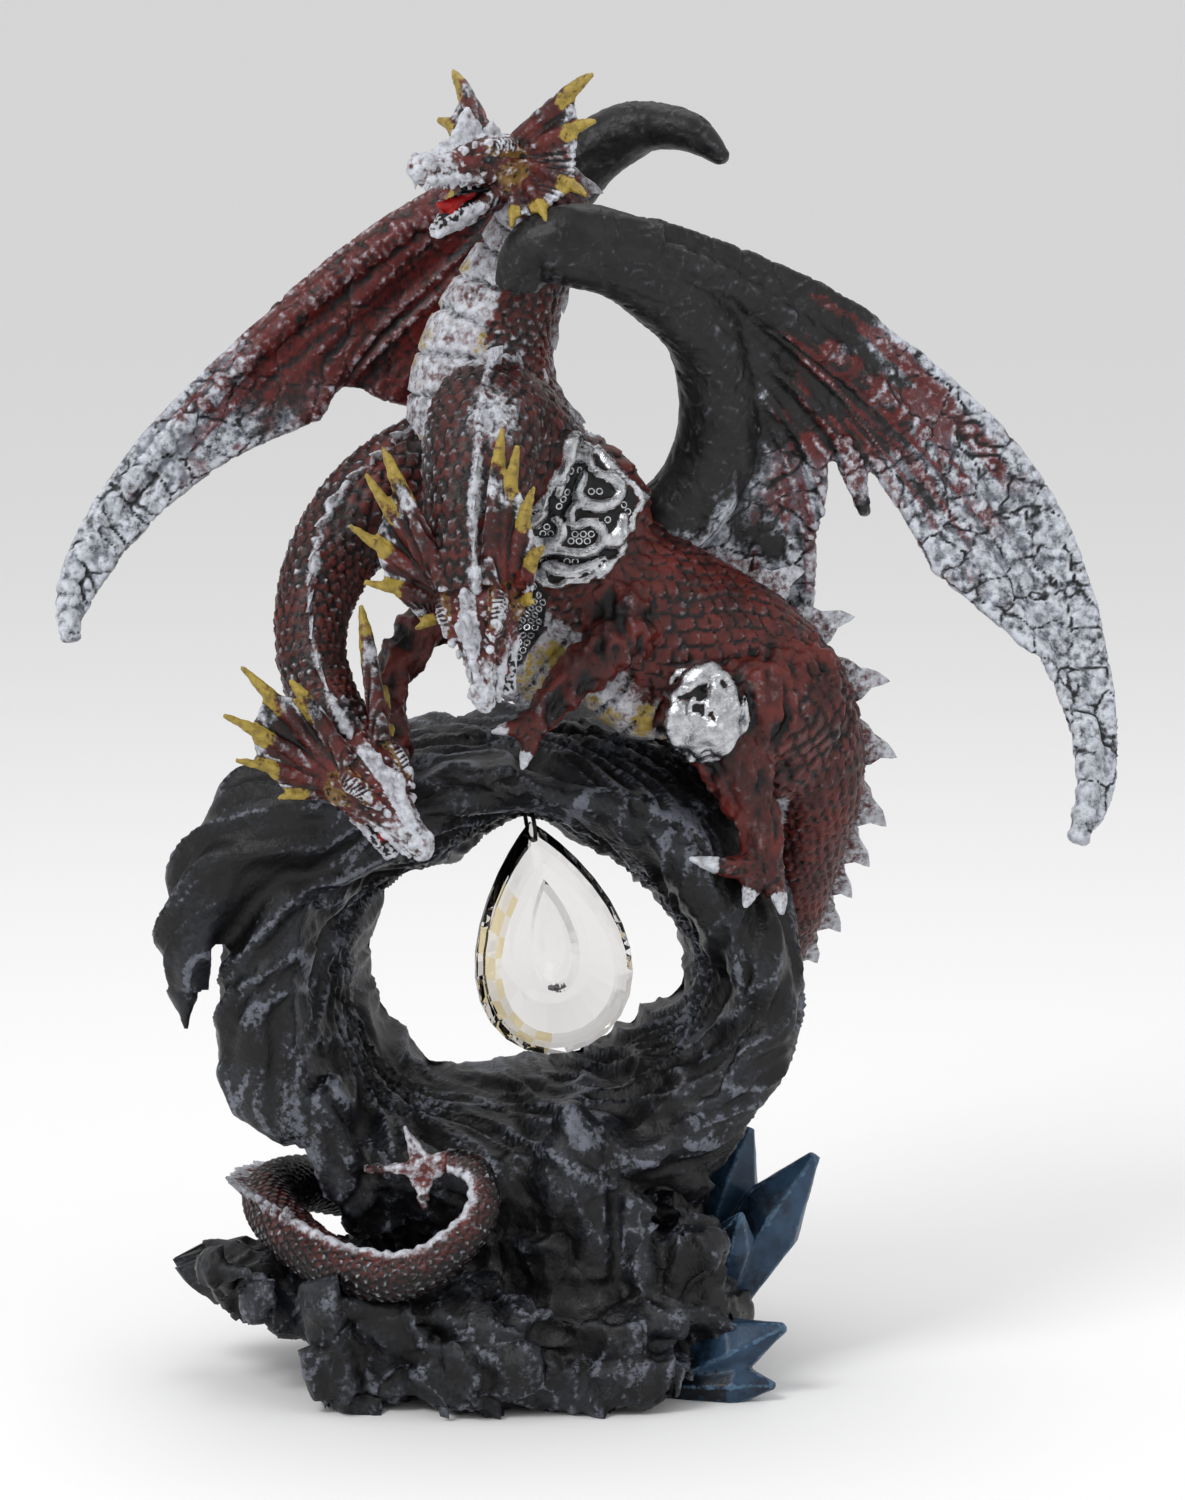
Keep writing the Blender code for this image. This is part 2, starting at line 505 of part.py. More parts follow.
def below_floor():
    """A block below the plinth, which cuts it off flat."""
    bm = bmesh.new()
    size = Matrix.Diagonal((300 * POSE, 300 * POSE, 40 * POSE, 1))
    bmesh.ops.create_cube(bm, size=1, matrix=Matrix.Translation((0, 0, -20 * POSE)) @ size)
    return hide(finish("below_floor", bm, None))


def rock_ring_plinth(material):
    bm = bmesh.new()
    add_ring(bm)
    add_tube(bm, HORN_OF_ROCK, sides=12)
    for spire in SPIRES:
        add_tube(bm, spire, sides=9)
    for block, seed in BLOCKS:
        add_block(bm, block, seed)
    made = finish("rock_ring_plinth", bm, material)
    merge(made, VOXEL_ROCK, KEPT_ROCK, ROCK_GRAIN)
    return made


def dragon(material):
    bm = bmesh.new()
    add_tube(bm, TRUNK, sides=14)
    for neck in (HIGH_NECK, MIDDLE_NECK, LOW_NECK):
        add_tube(bm, neck, sides=14)
    for limb in LIMBS:
        add_tube(bm, limb)
    for ball, tilt in BALLS:
        add_ball(bm, ball, tilt)
    add_crest(bm, TRUNK, TRUNK_BACKS, pitch=10, height=6.5, first=0.07, last=0.93)
    add_crest(bm, HIGH_NECK, HIGH_NECK_BACKS, pitch=8, height=4.5, first=0.25)
    add_crest(bm, MIDDLE_NECK, MIDDLE_NECK_BACKS, pitch=7, height=2.2, first=0.3)
    add_crest(bm, LOW_NECK, LOW_NECK_BACKS, pitch=7, height=2.2, first=0.3)
    for barb in TAIL_BARBS:
        add_web(bm, barb, CREST_SKIN)
    for middle, snout, crest, nose, left, right in HEADS:
        add_head(bm, head_axes(middle, snout, crest), nose, left, right)
    made = finish("dragon", bm, material)
    merge(made, VOXEL_DRAGON, KEPT_DRAGON)
    return made


def wing(name, material, wrist, ribs, scallops, bones, tips):
    """A wing of skin over bones, with its arm running down to the shoulder."""
    bm = bmesh.new()
    add_shell(bm, membrane(wrist, ribs, scallops, 5, 16), WING_SKIN)
    for k, thick, thin in bones:
        rib = smooth_line((wrist, *ribs[k]), 1)
        radii = np.linspace(thick, thin, len(rib))
        add_tube(bm, np.column_stack([rib, radii]))
    for tip in tips:
        add_tube(bm, tip)
    made = finish(name, bm, material)
    merge(made, VOXEL_WING, KEPT_WING)
    return made


def crystals(name, material, group):
    """Crystals grown together into one cluster."""
    first, *rest = group
    bm = bmesh.new()
    add_crystal(bm, *first)
    made = finish(name, bm, material)
    for i, crystal in enumerate(rest):
        bm = bmesh.new()
        add_crystal(bm, *crystal)
        other = hide(finish(f"{name}_part_{i}", bm, None))
        join = made.modifiers.new("grown_together", "BOOLEAN")
        join.operation = "UNION"
        join.object = other
    return made


def drop_outline(turn):
    """The teardrop's outline at an angle from its bottom: sideways and up, the height as a share."""
    return math.sin(turn) * abs(math.cos(turn / 2)), 0.5 - 0.5 * math.cos(turn)


def drop_and_hook(glass, wire):
    """The cut glass drop on its wire eye, under the crown of the ring."""
    tip = Vector(DROP_PLACE) * POSE
    place = Matrix.Translation(tip) @ Euler((0, DROP_LEAN, DROP_TURN), "XYZ").to_matrix().to_4x4()
    bm = bmesh.new()
    sides = 20
    turns = [2 * math.pi * i / sides for i in range(sides)]
    widest = max(drop_outline(t)[0] for t in turns)
    levels = (  # how large the outline is on each ring of facets, and how far out of the middle plane it lies
        (0.45, DROP_DEPTH / 2), (0.80, DROP_DEPTH * 0.17), (1.0, DROP_EDGE / 2),
        (1.0, -DROP_EDGE / 2), (0.80, -DROP_DEPTH * 0.17), (0.45, -DROP_DEPTH / 2),
    )
    waist = 0.40  # height of the facets' common middle, as a share of the drop
    rings = []
    for size, out in levels:
        ring = []
        for turn in turns:
            side, up = drop_outline(turn)
            side, up = side * size / widest / 2, waist + (up - waist) * size
            ring.append(bm.verts.new((side * DROP_WIDTH, out, (up - 1) * DROP_HEIGHT)))
        rings.append(ring)
    for ring, after in zip(rings, rings[1:]):
        for i in range(sides):
            j = (i + 1) % sides
            bm.faces.new((ring[i], ring[j], after[j], after[i]))
    bm.faces.new(rings[0][::-1])
    bm.faces.new(rings[-1])
    drop = finish("glass_drop", bm, glass)
    drop.matrix_world = place

    bm = bmesh.new()
    bmesh.ops.create_cone(
        bm, cap_ends=True, segments=12, radius1=DROP_HOLE_RADIUS, radius2=DROP_HOLE_RADIUS,
        depth=2 * DROP_DEPTH,
        matrix=place @ Matrix.Translation((0, 0, -DROP_HOLE_INSET)) @ Matrix.Rotation(math.pi / 2, 4, "X"),
    )
    cut(drop, hide(finish("drill", bm, None)))

    low = -DROP_HOLE_INSET + DROP_HOLE_RADIUS - HOOK_PLAY - HOOK_WIRE
    centre = low + HOOK_EYE
    line = [(0, HOOK_EYE * math.sin(a), centre - HOOK_EYE * math.cos(a)) for a in np.linspace(0, math.pi, 10)]
    back = [(0, -y, z) for _, y, z in line[-2::-1]]
    eye = add_wire([*line, *back[:-1]], HOOK_WIRE, closed=True)
    top = centre + HOOK_EYE
    shank = add_wire([(0, 0, top - HOOK_WIRE / 2), (0, 0, top + HOOK_SHANK)], HOOK_WIRE)
    hook = finish("drop_hook", eye, wire)
    hook.matrix_world = place
    stem = hide(finish("hook_shank", shank, None))
    stem.matrix_world = place
    join = hook.modifiers.new("shank", "BOOLEAN")
    join.operation = "UNION"
    join.object = stem

    bm = bmesh.new()
    wide, narrow = HOOK_EYE + HOOK_WIRE + HOOK_PLAY, HOOK_WIRE + HOOK_PLAY
    deep = top + HOOK_WIRE + HOOK_PLAY
    sides = 12
    rings = [
        [bm.verts.new((r * math.cos(2 * math.pi * i / sides), r * math.sin(2 * math.pi * i / sides), z))
         for i in range(sides)]
        for r, z in (
            (wide, -DROP_HOLE_INSET), (wide, deep), (narrow, deep), (narrow, top + HOOK_SHANK + HOOK_PLAY),
        )
    ]
    for ring, after in zip(rings, rings[1:]):
        for i in range(sides):
            bm.faces.new((ring[i], ring[(i + 1) % sides], after[(i + 1) % sides], after[i]))
    bm.faces.new(rings[0][::-1])
    bm.faces.new(rings[-1])
    socket = hide(finish("hook_socket", bm, None))
    socket.matrix_world = place
    return drop, hook, socket


def add_wire(points, radius, closed=False):
    """A round wire along points in the YZ plane, as a bmesh."""
    bm = bmesh.new()
    points = np.array(points, float)
    if closed:
        along = unit(np.roll(points, -1, axis=0) - np.roll(points, 1, axis=0))
    else:
        along = unit(np.gradient(points, axis=0))
    rings = []
    for point, way in zip(points, along):
        across = np.array((1.0, 0, 0))
        other = np.cross(way, across)
        rings.append([
            bm.verts.new(point + radius * (math.cos(a) * across + math.sin(a) * other))
            for a in np.linspace(0, 2 * math.pi, WIRE_SIDES, endpoint=False)
        ])
    pairs = list(zip(rings, rings[1:]))
    if closed:
        pairs.append((rings[-1], rings[0]))
    for ring, after in pairs:
        for i in range(WIRE_SIDES):
            j = (i + 1) % WIRE_SIDES
            bm.faces.new((ring[i], ring[j], after[j], after[i]))
    if not closed:
        bm.faces.new(rings[0][::-1])
        bm.faces.new(rings[-1])
    return bm


def main():
    clear_scene()
    rock = rock_ring_plinth(paint("rock_black", (0.03, 0.032, 0.04), 0.6))
    red = paint("dragon_red", (0.18, 0.03, 0.025), 0.5)
    body = dragon(red)
    right = wing(
        "right_wing", paint("wing_black", (0.06, 0.05, 0.05), 0.5),
        WRIST_RIGHT, RIBS_RIGHT, SCALLOPS_RIGHT, BONES_RIGHT, (KNUCKLE_RIGHT, SPIKE_RIGHT),
    )
    left = wing("left_wing", red, WRIST_LEFT, RIBS_LEFT, SCALLOPS_LEFT, BONES_LEFT, (CLAW_LEFT,))
    blue = paint("crystal_blue", (0.05, 0.11, 0.2), 0.4)
    high = crystals("blue_crystals_high", blue, CRYSTALS_HIGH)
    low = crystals("blue_crystals_low", blue, CRYSTALS_LOW)
    glass = paint("clear_glass", (0.95, 0.95, 0.95), 0.02, transmission=1.0)
    _, _, socket = drop_and_hook(glass, paint("black_wire", (0.03, 0.03, 0.03), 0.4, metallic=1.0))

    seat = grown(body)
    cut(right, seat)
    cut(left, seat)
    floor = below_floor()
    cut(low, floor)
    for cutter in (seat, grown(high, CRYSTAL_GAP), grown(low, CRYSTAL_GAP), socket, floor):
        cut(rock, cutter)


main()
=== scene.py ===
"""The looks of a three-headed dragon on a ring of rock: painted resin, a cut glass drop and blue crystals.

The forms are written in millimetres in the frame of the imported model, and made into metres at the end.
"""

import math

import bmesh
import bpy
import numpy as np
from mathutils import Euler, Matrix, Vector, noise
from mathutils.bvhtree import BVHTree
from mathutils.kdtree import KDTree


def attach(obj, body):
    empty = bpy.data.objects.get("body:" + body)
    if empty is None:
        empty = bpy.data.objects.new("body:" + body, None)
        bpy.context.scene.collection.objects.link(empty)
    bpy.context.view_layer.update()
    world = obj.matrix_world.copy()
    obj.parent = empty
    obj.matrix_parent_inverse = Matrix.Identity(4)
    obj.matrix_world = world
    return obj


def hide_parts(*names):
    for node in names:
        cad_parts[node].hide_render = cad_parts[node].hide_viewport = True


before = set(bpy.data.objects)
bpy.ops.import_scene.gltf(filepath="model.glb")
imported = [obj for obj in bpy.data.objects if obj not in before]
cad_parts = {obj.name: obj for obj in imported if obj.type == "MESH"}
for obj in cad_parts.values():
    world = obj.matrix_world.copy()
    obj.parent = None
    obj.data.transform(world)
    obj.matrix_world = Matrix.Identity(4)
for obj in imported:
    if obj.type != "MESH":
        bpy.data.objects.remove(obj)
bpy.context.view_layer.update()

MM = 0.001

CELL_TORSO = 0.75  # size of a skin's quads, in mm
CELL_TAIL = 0.46
CELL_HEAD = 0.43
CELL_WING = 0.62
CELL_ROCK = 1.0
CELL_CRYSTAL = 0.45
WING_SKIN = 2.3  # thickness of the wings' skin, in mm

# Acrylic paint: its sheen, the strength of a thin coat, and how much of a layer must be asked for to show
SHEEN = 0.32
THIN_COAT = 0.58
SHOWS_FROM = 0.06
SHOWS_FULLY = 0.42

# Centre lines of the dragon: x, y, z and radius of each station
TRUNK = (
    (1, -10, 174, 15), (13, -8, 167, 17.5), (27, -6, 157, 18.5), (41.5, -4, 149, 17.3), (51, -2, 139, 15.3),
    (56, 2, 126, 11.6), (54.5, 11, 110, 9.1), (51.5, 22, 93, 7.7), (45, 33, 77, 6.8), (37, 42, 58, 6.2),
)
TRUNK_BACKS = (
    (0, 0.3, 1), (0.1, 0.3, 1), (0.2, 0.3, 0.95), (0.45, 0.25, 0.85), (0.8, 0.2, 0.55), (1, 0.1, 0.1),
    (1, 0, 0), (0.9, 0.3, -0.2), (0.8, 0.6, -0.2), (0.6, 0.8, 0),
)
TAIL = (
    (51.5, 22, 93, 7.5), *TRUNK[8:],
    (25, 47, 42, 6), (6, 50, 31, 5.7), (-16, 49, 27, 5.5), (-38, 39, 29, 5.5), (-52, 20, 35, 5.6),
    (-57, -3, 37, 5.6), (-52, -24, 34, 5.2), (-41, -38, 30, 4.8), (-28, -44, 29.5, 4.4),
    (-18, -44.5, 35, 3.8), (-11.5, -42.5, 43, 3), (-12.5, -38.5, 50, 2.5), (-18, -36.5, 52, 2.2),
    (-24, -36, 50.8, 1.8),
)
TAIL_BACKS = (
    *TRUNK_BACKS[7:], (0.3, 0.9, 0.3), (0, 0.9, 0.5),
    (-0.1, 0.9, 0.5), (-0.5, 0.7, 0.5), (-0.9, 0.3, 0.4), (-0.9, -0.1, 0.45), (-0.5, -0.2, 0.85),
    (0, -0.3, 0.95), (0.1, -0.3, 0.95), (-0.35, -0.45, 0.85), (-0.75, -0.65, 0.2), (-0.3, -0.8, -0.5),
    (0, -0.9, -0.4), (0, -0.9, -0.4),
)
TAIL_BARBS = (  # corners and thickness of the blades at the tip
    (((-20, -36.5, 53), (-20, -36.5, 48.5), (-36.5, -38, 50.5)), 3.0),
    (((-21.5, -36.5, 52), (-26.5, -36.5, 52), (-28, -37.5, 60)), 2.4),
    (((-21.5, -36.5, 49), (-27, -36.5, 49), (-23.5, -39.5, 42.5)), 2.4),
)
HIGH_NECK = (
    (4, -6, 179, 17), (-5, -10, 190, 16), (-11, -12, 203, 15), (-11, -12, 215, 13),
    (-7.5, -12, 226, 10.5), (-2, -13, 237, 9), (1.5, -16, 245, 8.5), (-1.5, -18, 251, 8),
)
HIGH_NECK_BACKS = ((0.6, 0.4, 0.7), (0.9, 0.3, 0.4), (1, 0.3, 0.2), (1, 0.3, 0.1)) + ((1, 0.2, -0.1),) * 4
MIDDLE_NECK = (
    (4, -8, 181, 14), (-4, -18, 196, 12.8), (-9.5, -31, 204.5, 11.3), (-11.5, -42, 200, 10.8),
    (-12.5, -48.5, 189.5, 9.8), (-12.5, -51.5, 180, 9.4), (-12, -53, 172, 8.6),
)
MIDDLE_NECK_BACKS = (
    (0.2, -0.3, 1), (0, -0.4, 0.9), (0, -0.4, 0.9), (0, -0.9, 0.45), (0, -1, 0.1), (0, -1, 0), (0, -1, 0),
)
LOW_NECK = (
    (-4, -4, 185, 13), (-18.5, -8, 191.5, 12), (-30.5, -16, 188, 10.6), (-39.5, -24, 180, 9),
    (-45, -31, 169.5, 7.5), (-46.2, -37.5, 159, 6.5), (-43.5, -42.5, 149, 6.3), (-38.5, -46.5, 140, 6.6),
)
LOW_NECK_BACKS = (
    (0, -0.2, 1), (-0.3, -0.5, 0.8), (-0.5, -0.8, 0.35), (-0.5, -0.85, 0.1), (-0.2, -1, 0), (0.1, -1, 0),
    (0.25, -0.95, 0), (0.3, -0.95, 0),
)
RIGHT_FORELEG = (
    (12, -14, 168, 10), (17.5, -25, 161, 6.6), (10, -31, 154, 4.7), (4, -33, 148, 3.7),
    (-1.5, -35, 142, 3.2),
)
RIGHT_THIGH = ((52, -8, 144, 14.5), (44, -17, 144, 12.5), (35, -23, 143, 9.2))
RIGHT_SHIN = (
    (35, -23, 143, 8.6), (40.5, -23, 133, 7), (44.5, -24.5, 122, 4.7), (46, -27, 112, 4),
    (46, -28, 108.5, 3.8),
)
LEFT_FORELEG = (
    (-8, -4, 170, 9), (-23, -8, 160, 5.2), (-30, -12, 151, 3.9), (-31.5, -16, 142, 3.5),
    (-30, -18, 134, 3.6),
)
LEFT_HIND_LEG = (
    (51, 6, 143, 13), (44, 18, 142, 9.5), (46, 28, 128, 6.5), (48, 31, 114, 5), (46, 30, 106, 3.5),
)
TOES = (
    ((-1.5, -35.5, 142, 2.7), (-5.5, -37.5, 142, 1.8), (-10, -38.5, 141, 0.7)),
    ((-1.5, -35.5, 141.5, 2.7), (-2, -38, 138, 1.9), (-3.5, -39.5, 133.5, 0.7)),
    ((45, -28, 112, 3.2), (38, -31.5, 112.5, 2.2), (30.5, -33, 114.5, 0.8)),
    ((45, -28, 111, 3), (43.5, -32, 108, 2.1), (42, -34, 104, 0.8)),
    ((46, -28, 111, 3), (49, -31, 107, 2.1), (50, -33, 102.5, 0.8)),
    ((-30, -18, 135, 3), (-34, -21, 131, 2), (-36, -22, 127, 0.8)),
    ((-30, -18, 135, 3), (-28, -22, 131, 2), (-27, -24, 127, 0.8)),
)
# Breast, belly, belly plates, shoulder, knee and haunch: middle and radii, and tilt in degrees
BALLS = (
    ((-1.5, -14, 153, 9.5, 9, 9), 0),
    ((27, -10, 147.5, 15, 12, 9.5), 20),
    ((19, -17, 145.5, 11.5, 8, 6.5), 28),
    ((8.5, -15, 183, 14, 10.5, 16), -12),
    ((34, -28.5, 143.5, 7.2, 5.4, 8.8), -10),
    ((50, -9, 137, 11, 10.5, 14), 15),
)

# Heads: middle of the skull, where the snout and the crest point, and tips of the frill's spines
HEADS = {
    "high": dict(
        middle=(-10, -22, 255), snout=(-0.743, -0.669, 0.0), crest=(0, 0, 1), nose=1.0,
        left=((-10.5, 20, 19), (-9.5, 22, 9.5), (-6, 23.5, -5.5), (0, 18, -11), (3.5, 11, -12)),
        right=((-7.5, -20, 19), (-5, -22, 9), (-6, -22, -3), (-1, -16, -9), (3.5, -10, -11)),
    ),
    "middle": dict(
        middle=(-11.5, -56, 168.5), snout=(0.05, -0.34, -0.94), crest=(-0.38, -0.86, 0.33), nose=0.8,
        left=((-32, 13, 15), (-28, 16, 15), (-19, 19, 15), (-8, 19, 11), (1, 13, 3)),
        right=((-32, -13, 15), (-27, -17, 15), (-17, -21, 15), (-6, -20, 11), (3, -13, 3)),
    ),
    "low": dict(
        middle=(-34.5, -49, 134), snout=(0.60, -0.24, -0.76), crest=(0.36, -0.82, 0.45), nose=0.97,
        left=((-28, 16, 12), (-20, 14, 7), (-13, 14, 3), (-6, 12, -1), (1, 9, -5)),
        right=((-22, -8.5, 15), (-30, -14, 12), (-24, -22.5, 10), (-16, -24, 5), (-6, -18.5, -1)),
    ),
}
# A head's left side on its own axes: the frill's spines, then lip, jaw and brow, and the brow's knobs
SPINE_ROOTS = ((-3.5, 4.5, 5), (-4.5, 6, 3), (-4.5, 7, 0.5), (-3, 7, -2), (-1, 6.5, -4))
SPINE_RADII = (2.2, 1.9, 1.7, 1.5, 1.2)
FACE = (
    ((3, 5.2, -1.6, 1.5), (10, 3.6, -2.0, 1.2), (17.5, 2.0, -2.2, 1.0)),
    ((-1, 4.6, -4.5, 2.6), (6, 3.2, -8, 1.5), (12.5, 1.3, -11, 1.1)),
    ((-4, 5.2, 3.4, 1.6), (1, 5.9, 4.2, 1.9), (7, 3.6, 3.6, 1.3)),
)
BROW_KNOBS = ((2, 6.1, 5, 1.5), (4.6, 5.3, 5, 1.3), (7, 4.3, 4.5, 1.1), (9.4, 3.4, 3.8, 0.9))

# Wings: each rib runs from the wrist to the wing's edge
WRIST_RIGHT = (1.5, -30, 239.5)
RIBS_RIGHT = (
    ((15, -26, 236.5), (25, -21, 230), (33, -16, 222), (36.5, -10, 211), (37, -6, 199), (32, -3, 186),
     (20, -1, 174)),
    ((23, -23.5, 231), (38, -12, 211), (44, -2, 188), (43, 4, 166)),
    ((25, -24, 230), (42, -12, 211), (51.5, -2, 190), (55.5, 4, 172), (57, 7, 157)),
    ((24, -24.5, 229), (40, -14, 214), (51, -6, 200), (57, -3, 188.5), (59, -2, 181)),
    ((23, -25, 230), (39, -16, 218.5), (50, -9, 207.5), (60, -6, 195.5)),
    ((24, -25, 231.5), (41, -16, 221.5), (56, -8.5, 208.5), (66, -5.5, 197), (71, -5.5, 190.5)),
    ((25, -25, 233), (43, -16, 223.5), (58, -8, 210.5), (71, -4, 195), (78, -5.5, 183), (81.5, -9, 171)),
    ((25, -25, 234.5), (43, -16, 225), (61, -8, 212.5), (79, -4, 193), (93, -6, 173), (103, -12, 153.5)),
    ((23, -26, 238), (43, -17, 228), (64, -8, 213), (83, -2, 193.5), (98, -2, 172.5), (108, -8, 152),
     (114, -18, 135), (111, -26, 117.5)),
    ((17, -26, 245.5), (37, -18, 239), (60, -8, 228.5), (79, -2, 215.5), (96, 0, 200.5), (108.5, -2, 183),
     (116.5, -6, 162.5), (120, -12, 142), (118.5, -20, 124.5), (112.5, -26, 116.7)),
)
SCALLOPS_RIGHT = (0.0, 0.0, 0.05, 0.0, 0.0, 0.03, 0.0, 0.12, 0.0)
BONES_RIGHT = ((0, 7.5, 9), (3, 2.6, 1.2), (8, 3.2, 2.0))
WRIST_LEFT = (21, 14, 261)
RIBS_LEFT = (
    ((10.5, 14, 254), (1, 16, 240), (-5, 16, 225.5), (-6.5, 14, 211), (-2, 10, 196.5), (5, 5, 182)),
    ((0, 14, 242.5), (-13, 16, 223), (-23, 14, 208), (-28, 12, 203.5)),
    ((-4, 14, 244.5), (-20, 14, 229.5), (-34, 11, 217.5), (-44.5, 8, 209)),
    ((-4, 14, 246.5), (-23, 14, 232), (-37.5, 10, 217.5), (-47, 4, 201.5)),
    ((-4, 14, 251), (-24, 13, 243), (-44, 9, 229), (-62, 3, 213), (-78, -3, 197), (-91, -9, 181),
     (-97, -15, 168), (-96.5, -18, 157.5)),
    ((-4, 14, 254.5), (-23, 14, 248.5), (-44, 10, 234.5), (-62.5, 4, 218.5), (-79, -2, 203),
     (-91, -8, 187.5),
     (-99, -14, 171), (-98.5, -18, 157.5)),
)
SCALLOPS_LEFT = (0.0, -0.03, 0.0, 0.09, 0.0)
BONES_LEFT = ((0, 5, 8), (3, 2.4, 1.2), (4, 3.3, 2.0))
CLAW_LEFT = (
    (6, 15, 253, 6), (14, 14, 259, 6.2), (22, 12, 262, 5.6), (31, 9, 261, 4.2), (38.5, 5, 255.5, 1.4),
)
SPIKE_RIGHT = ((62.5, -6, 198, 3.2), (65.5, -6.5, 190, 2.4), (67.5, -7, 182.5, 0.9))
KNUCKLE_RIGHT = (
    (-4, -28, 231, 4.4), (-2, -30, 238, 5.6), (4, -31, 241.5, 6), (12, -29, 242, 5.6), (24, -25, 239, 4.6),
)
WINGS = {  # folds in mm, then where red and pale skin begin, in mm from the wrist
    "right_wing": dict(
        wrist=WRIST_RIGHT, ribs=RIBS_RIGHT, scallops=SCALLOPS_RIGHT, bones=BONES_RIGHT,
        tips=(KNUCKLE_RIGHT, SPIKE_RIGHT), fold=1.3, red_from=58, pale_from=76, pale_edge=14, dark_arm=1,
        inner_red=0.3,
    ),
    "left_wing": dict(
        wrist=WRIST_LEFT, ribs=RIBS_LEFT, scallops=SCALLOPS_LEFT, bones=BONES_LEFT, tips=(CLAW_LEFT,),
        fold=0.6, red_from=24, pale_from=84, pale_edge=0, dark_arm=0, inner_red=0.9,
    ),
}

# The rock: the ring's axis in x and z, and its front and back in y
RING_AXIS = (-3, 86)
RING_FRONT = -30
RING_BACK = 26
RING = (  # angle, inner and outer radius in front, outer and inner radius behind
    (0, 45, 56, 57, 34), (25, 38, 52, 58, 29), (50, 38, 47, 58, 25), (75, 39, 45, 55, 27),
    (90, 39.5, 45, 54, 30.5),
    (103, 39, 46, 54, 27), (127, 37, 52, 56, 24.5), (145, 41, 60, 58, 31), (163, 48, 63, 60, 32.5),
    (180, 47.5, 62.5, 60, 33), (189, 48, 64.5, 59, 33), (197, 48.5, 66.5, 58, 33),
    (204, 48.5, 67, 57, 32.5),
    (211, 48, 61, 56, 32), (217, 48, 54, 56, 31.5), (240, 40, 53, 55, 29),
    (270, 33.5, 52, 54, 22.5), (300, 33.5, 52, 54, 22.5), (330, 39, 54, 55, 26.5), (345, 43, 57, 56, 31),
)
HORN_OF_ROCK = (
    (-40, -20, 127, 15), (-52, -23, 122, 14), (-62, -25, 114, 11.5), (-69, -26, 105, 8.8),
    (-73.3, -26, 95, 6.2),
    (-73.2, -26, 88, 4.8), (-73.6, -26, 82, 3), (-73, -26, 76.5, 1.2),
)
SPIRES = (
    ((5, -24, 24, 13), (6, -27, 42, 9.5), (6.5, -29, 55, 6), (6.5, -29, 62, 3)),
    ((20, -22, 24, 9), (19, -25, 38, 5), (17, -26, 48, 2.4)),
    ((-6, -20, 26, 8), (-5, -24, 42, 5), (-4, -25, 52, 2.4)),
    ((27, -18, 40, 8), (35, -22, 55, 6.5), (43, -25, 66, 5)),
    ((-34, -18, 34, 7), (-41, -23, 50, 6.5), (-46, -27, 66, 5.5)),
)
BLOCKS = (  # middle and size, and the seed of its broken corners
    ((0, -2, 12, 86, 78, 27), 3),
    ((-4, 4, 34, 76, 50, 34), 5),
    ((-8, -30, 14, 76, 32, 24), 8),
    ((-60, -14, 20, 26, 30, 16), 13),
    ((-48, -16, 17, 22, 30, 16), 2),
    ((-37, -31, 12, 22, 26, 25), 21),
    ((26, -20, 26, 24, 30, 20), 34),
    ((26, -7, 12, 26, 42, 25), 55),
    ((-11, -43, 7, 20, 14, 15), 89),
    ((13, -39, 10, 18, 13, 18), 4),
    ((0, 30, 24, 70, 26, 44), 7),
)

# Armour on the breast and the knee, seen from the front: x and z
BREAST_PLATE = (
    (5, 201), (12, 196), (21, 187), (17, 178), (13.5, 171), (1.5, 169), (-6, 176), (-2.5, 186), (2, 193),
)
BREAST_SCROLLS = (
    ((1.2, 171), (-1, 173), (-0.5, 176.2), (3.2, 177.3), (8.5, 176.6), (12.2, 178.4), (12.6, 181.4),
     (10.4, 183),
     (7.4, 182.4), (6.4, 184.6), (7.8, 186.6)),
    ((8.5, 191.4), (7.8, 188.3), (10.5, 186.2), (14.1, 186.2), (16.1, 188.3), (15, 190.4), (11.5, 192.4)),
    ((-2.1, 179.4), (1.1, 178.6), (4.3, 179.4), (5, 182), (3.2, 184)),
    ((5, 200), (4.2, 194), (3.4, 189)),
    ((2.8, 173.6), (6.2, 172.6), (10.2, 173.6), (12.6, 175.4)),
    ((14.4, 179), (16.2, 181.4), (16.6, 184)),
    ((6.4, 196.4), (9.4, 195.2), (10.6, 193)),
    ((-1.4, 183.2), (0.6, 185.2), (0.8, 188)),
)
MAIL_STRIP = ((-9, 176), (-3, 174), (2, 168), (1, 160), (-4, 153), (-9, 149), (-13, 152), (-12, 164))
KNEE_PLATE = ((27, 152), (34, 153.5), (41, 148), (43, 143), (37, 135), (30, 134), (27.5, 142))
YELLOW_SPOTS = ((3, 155, 2.6), (22, 142, 3.4), (47, 113, 2.5), (50, 104, 2.4))  # x, z and size
MAIL_PITCH = 1.65
MAIL_RING = (0.62, 0.24)  # radius of a ring and of its wire

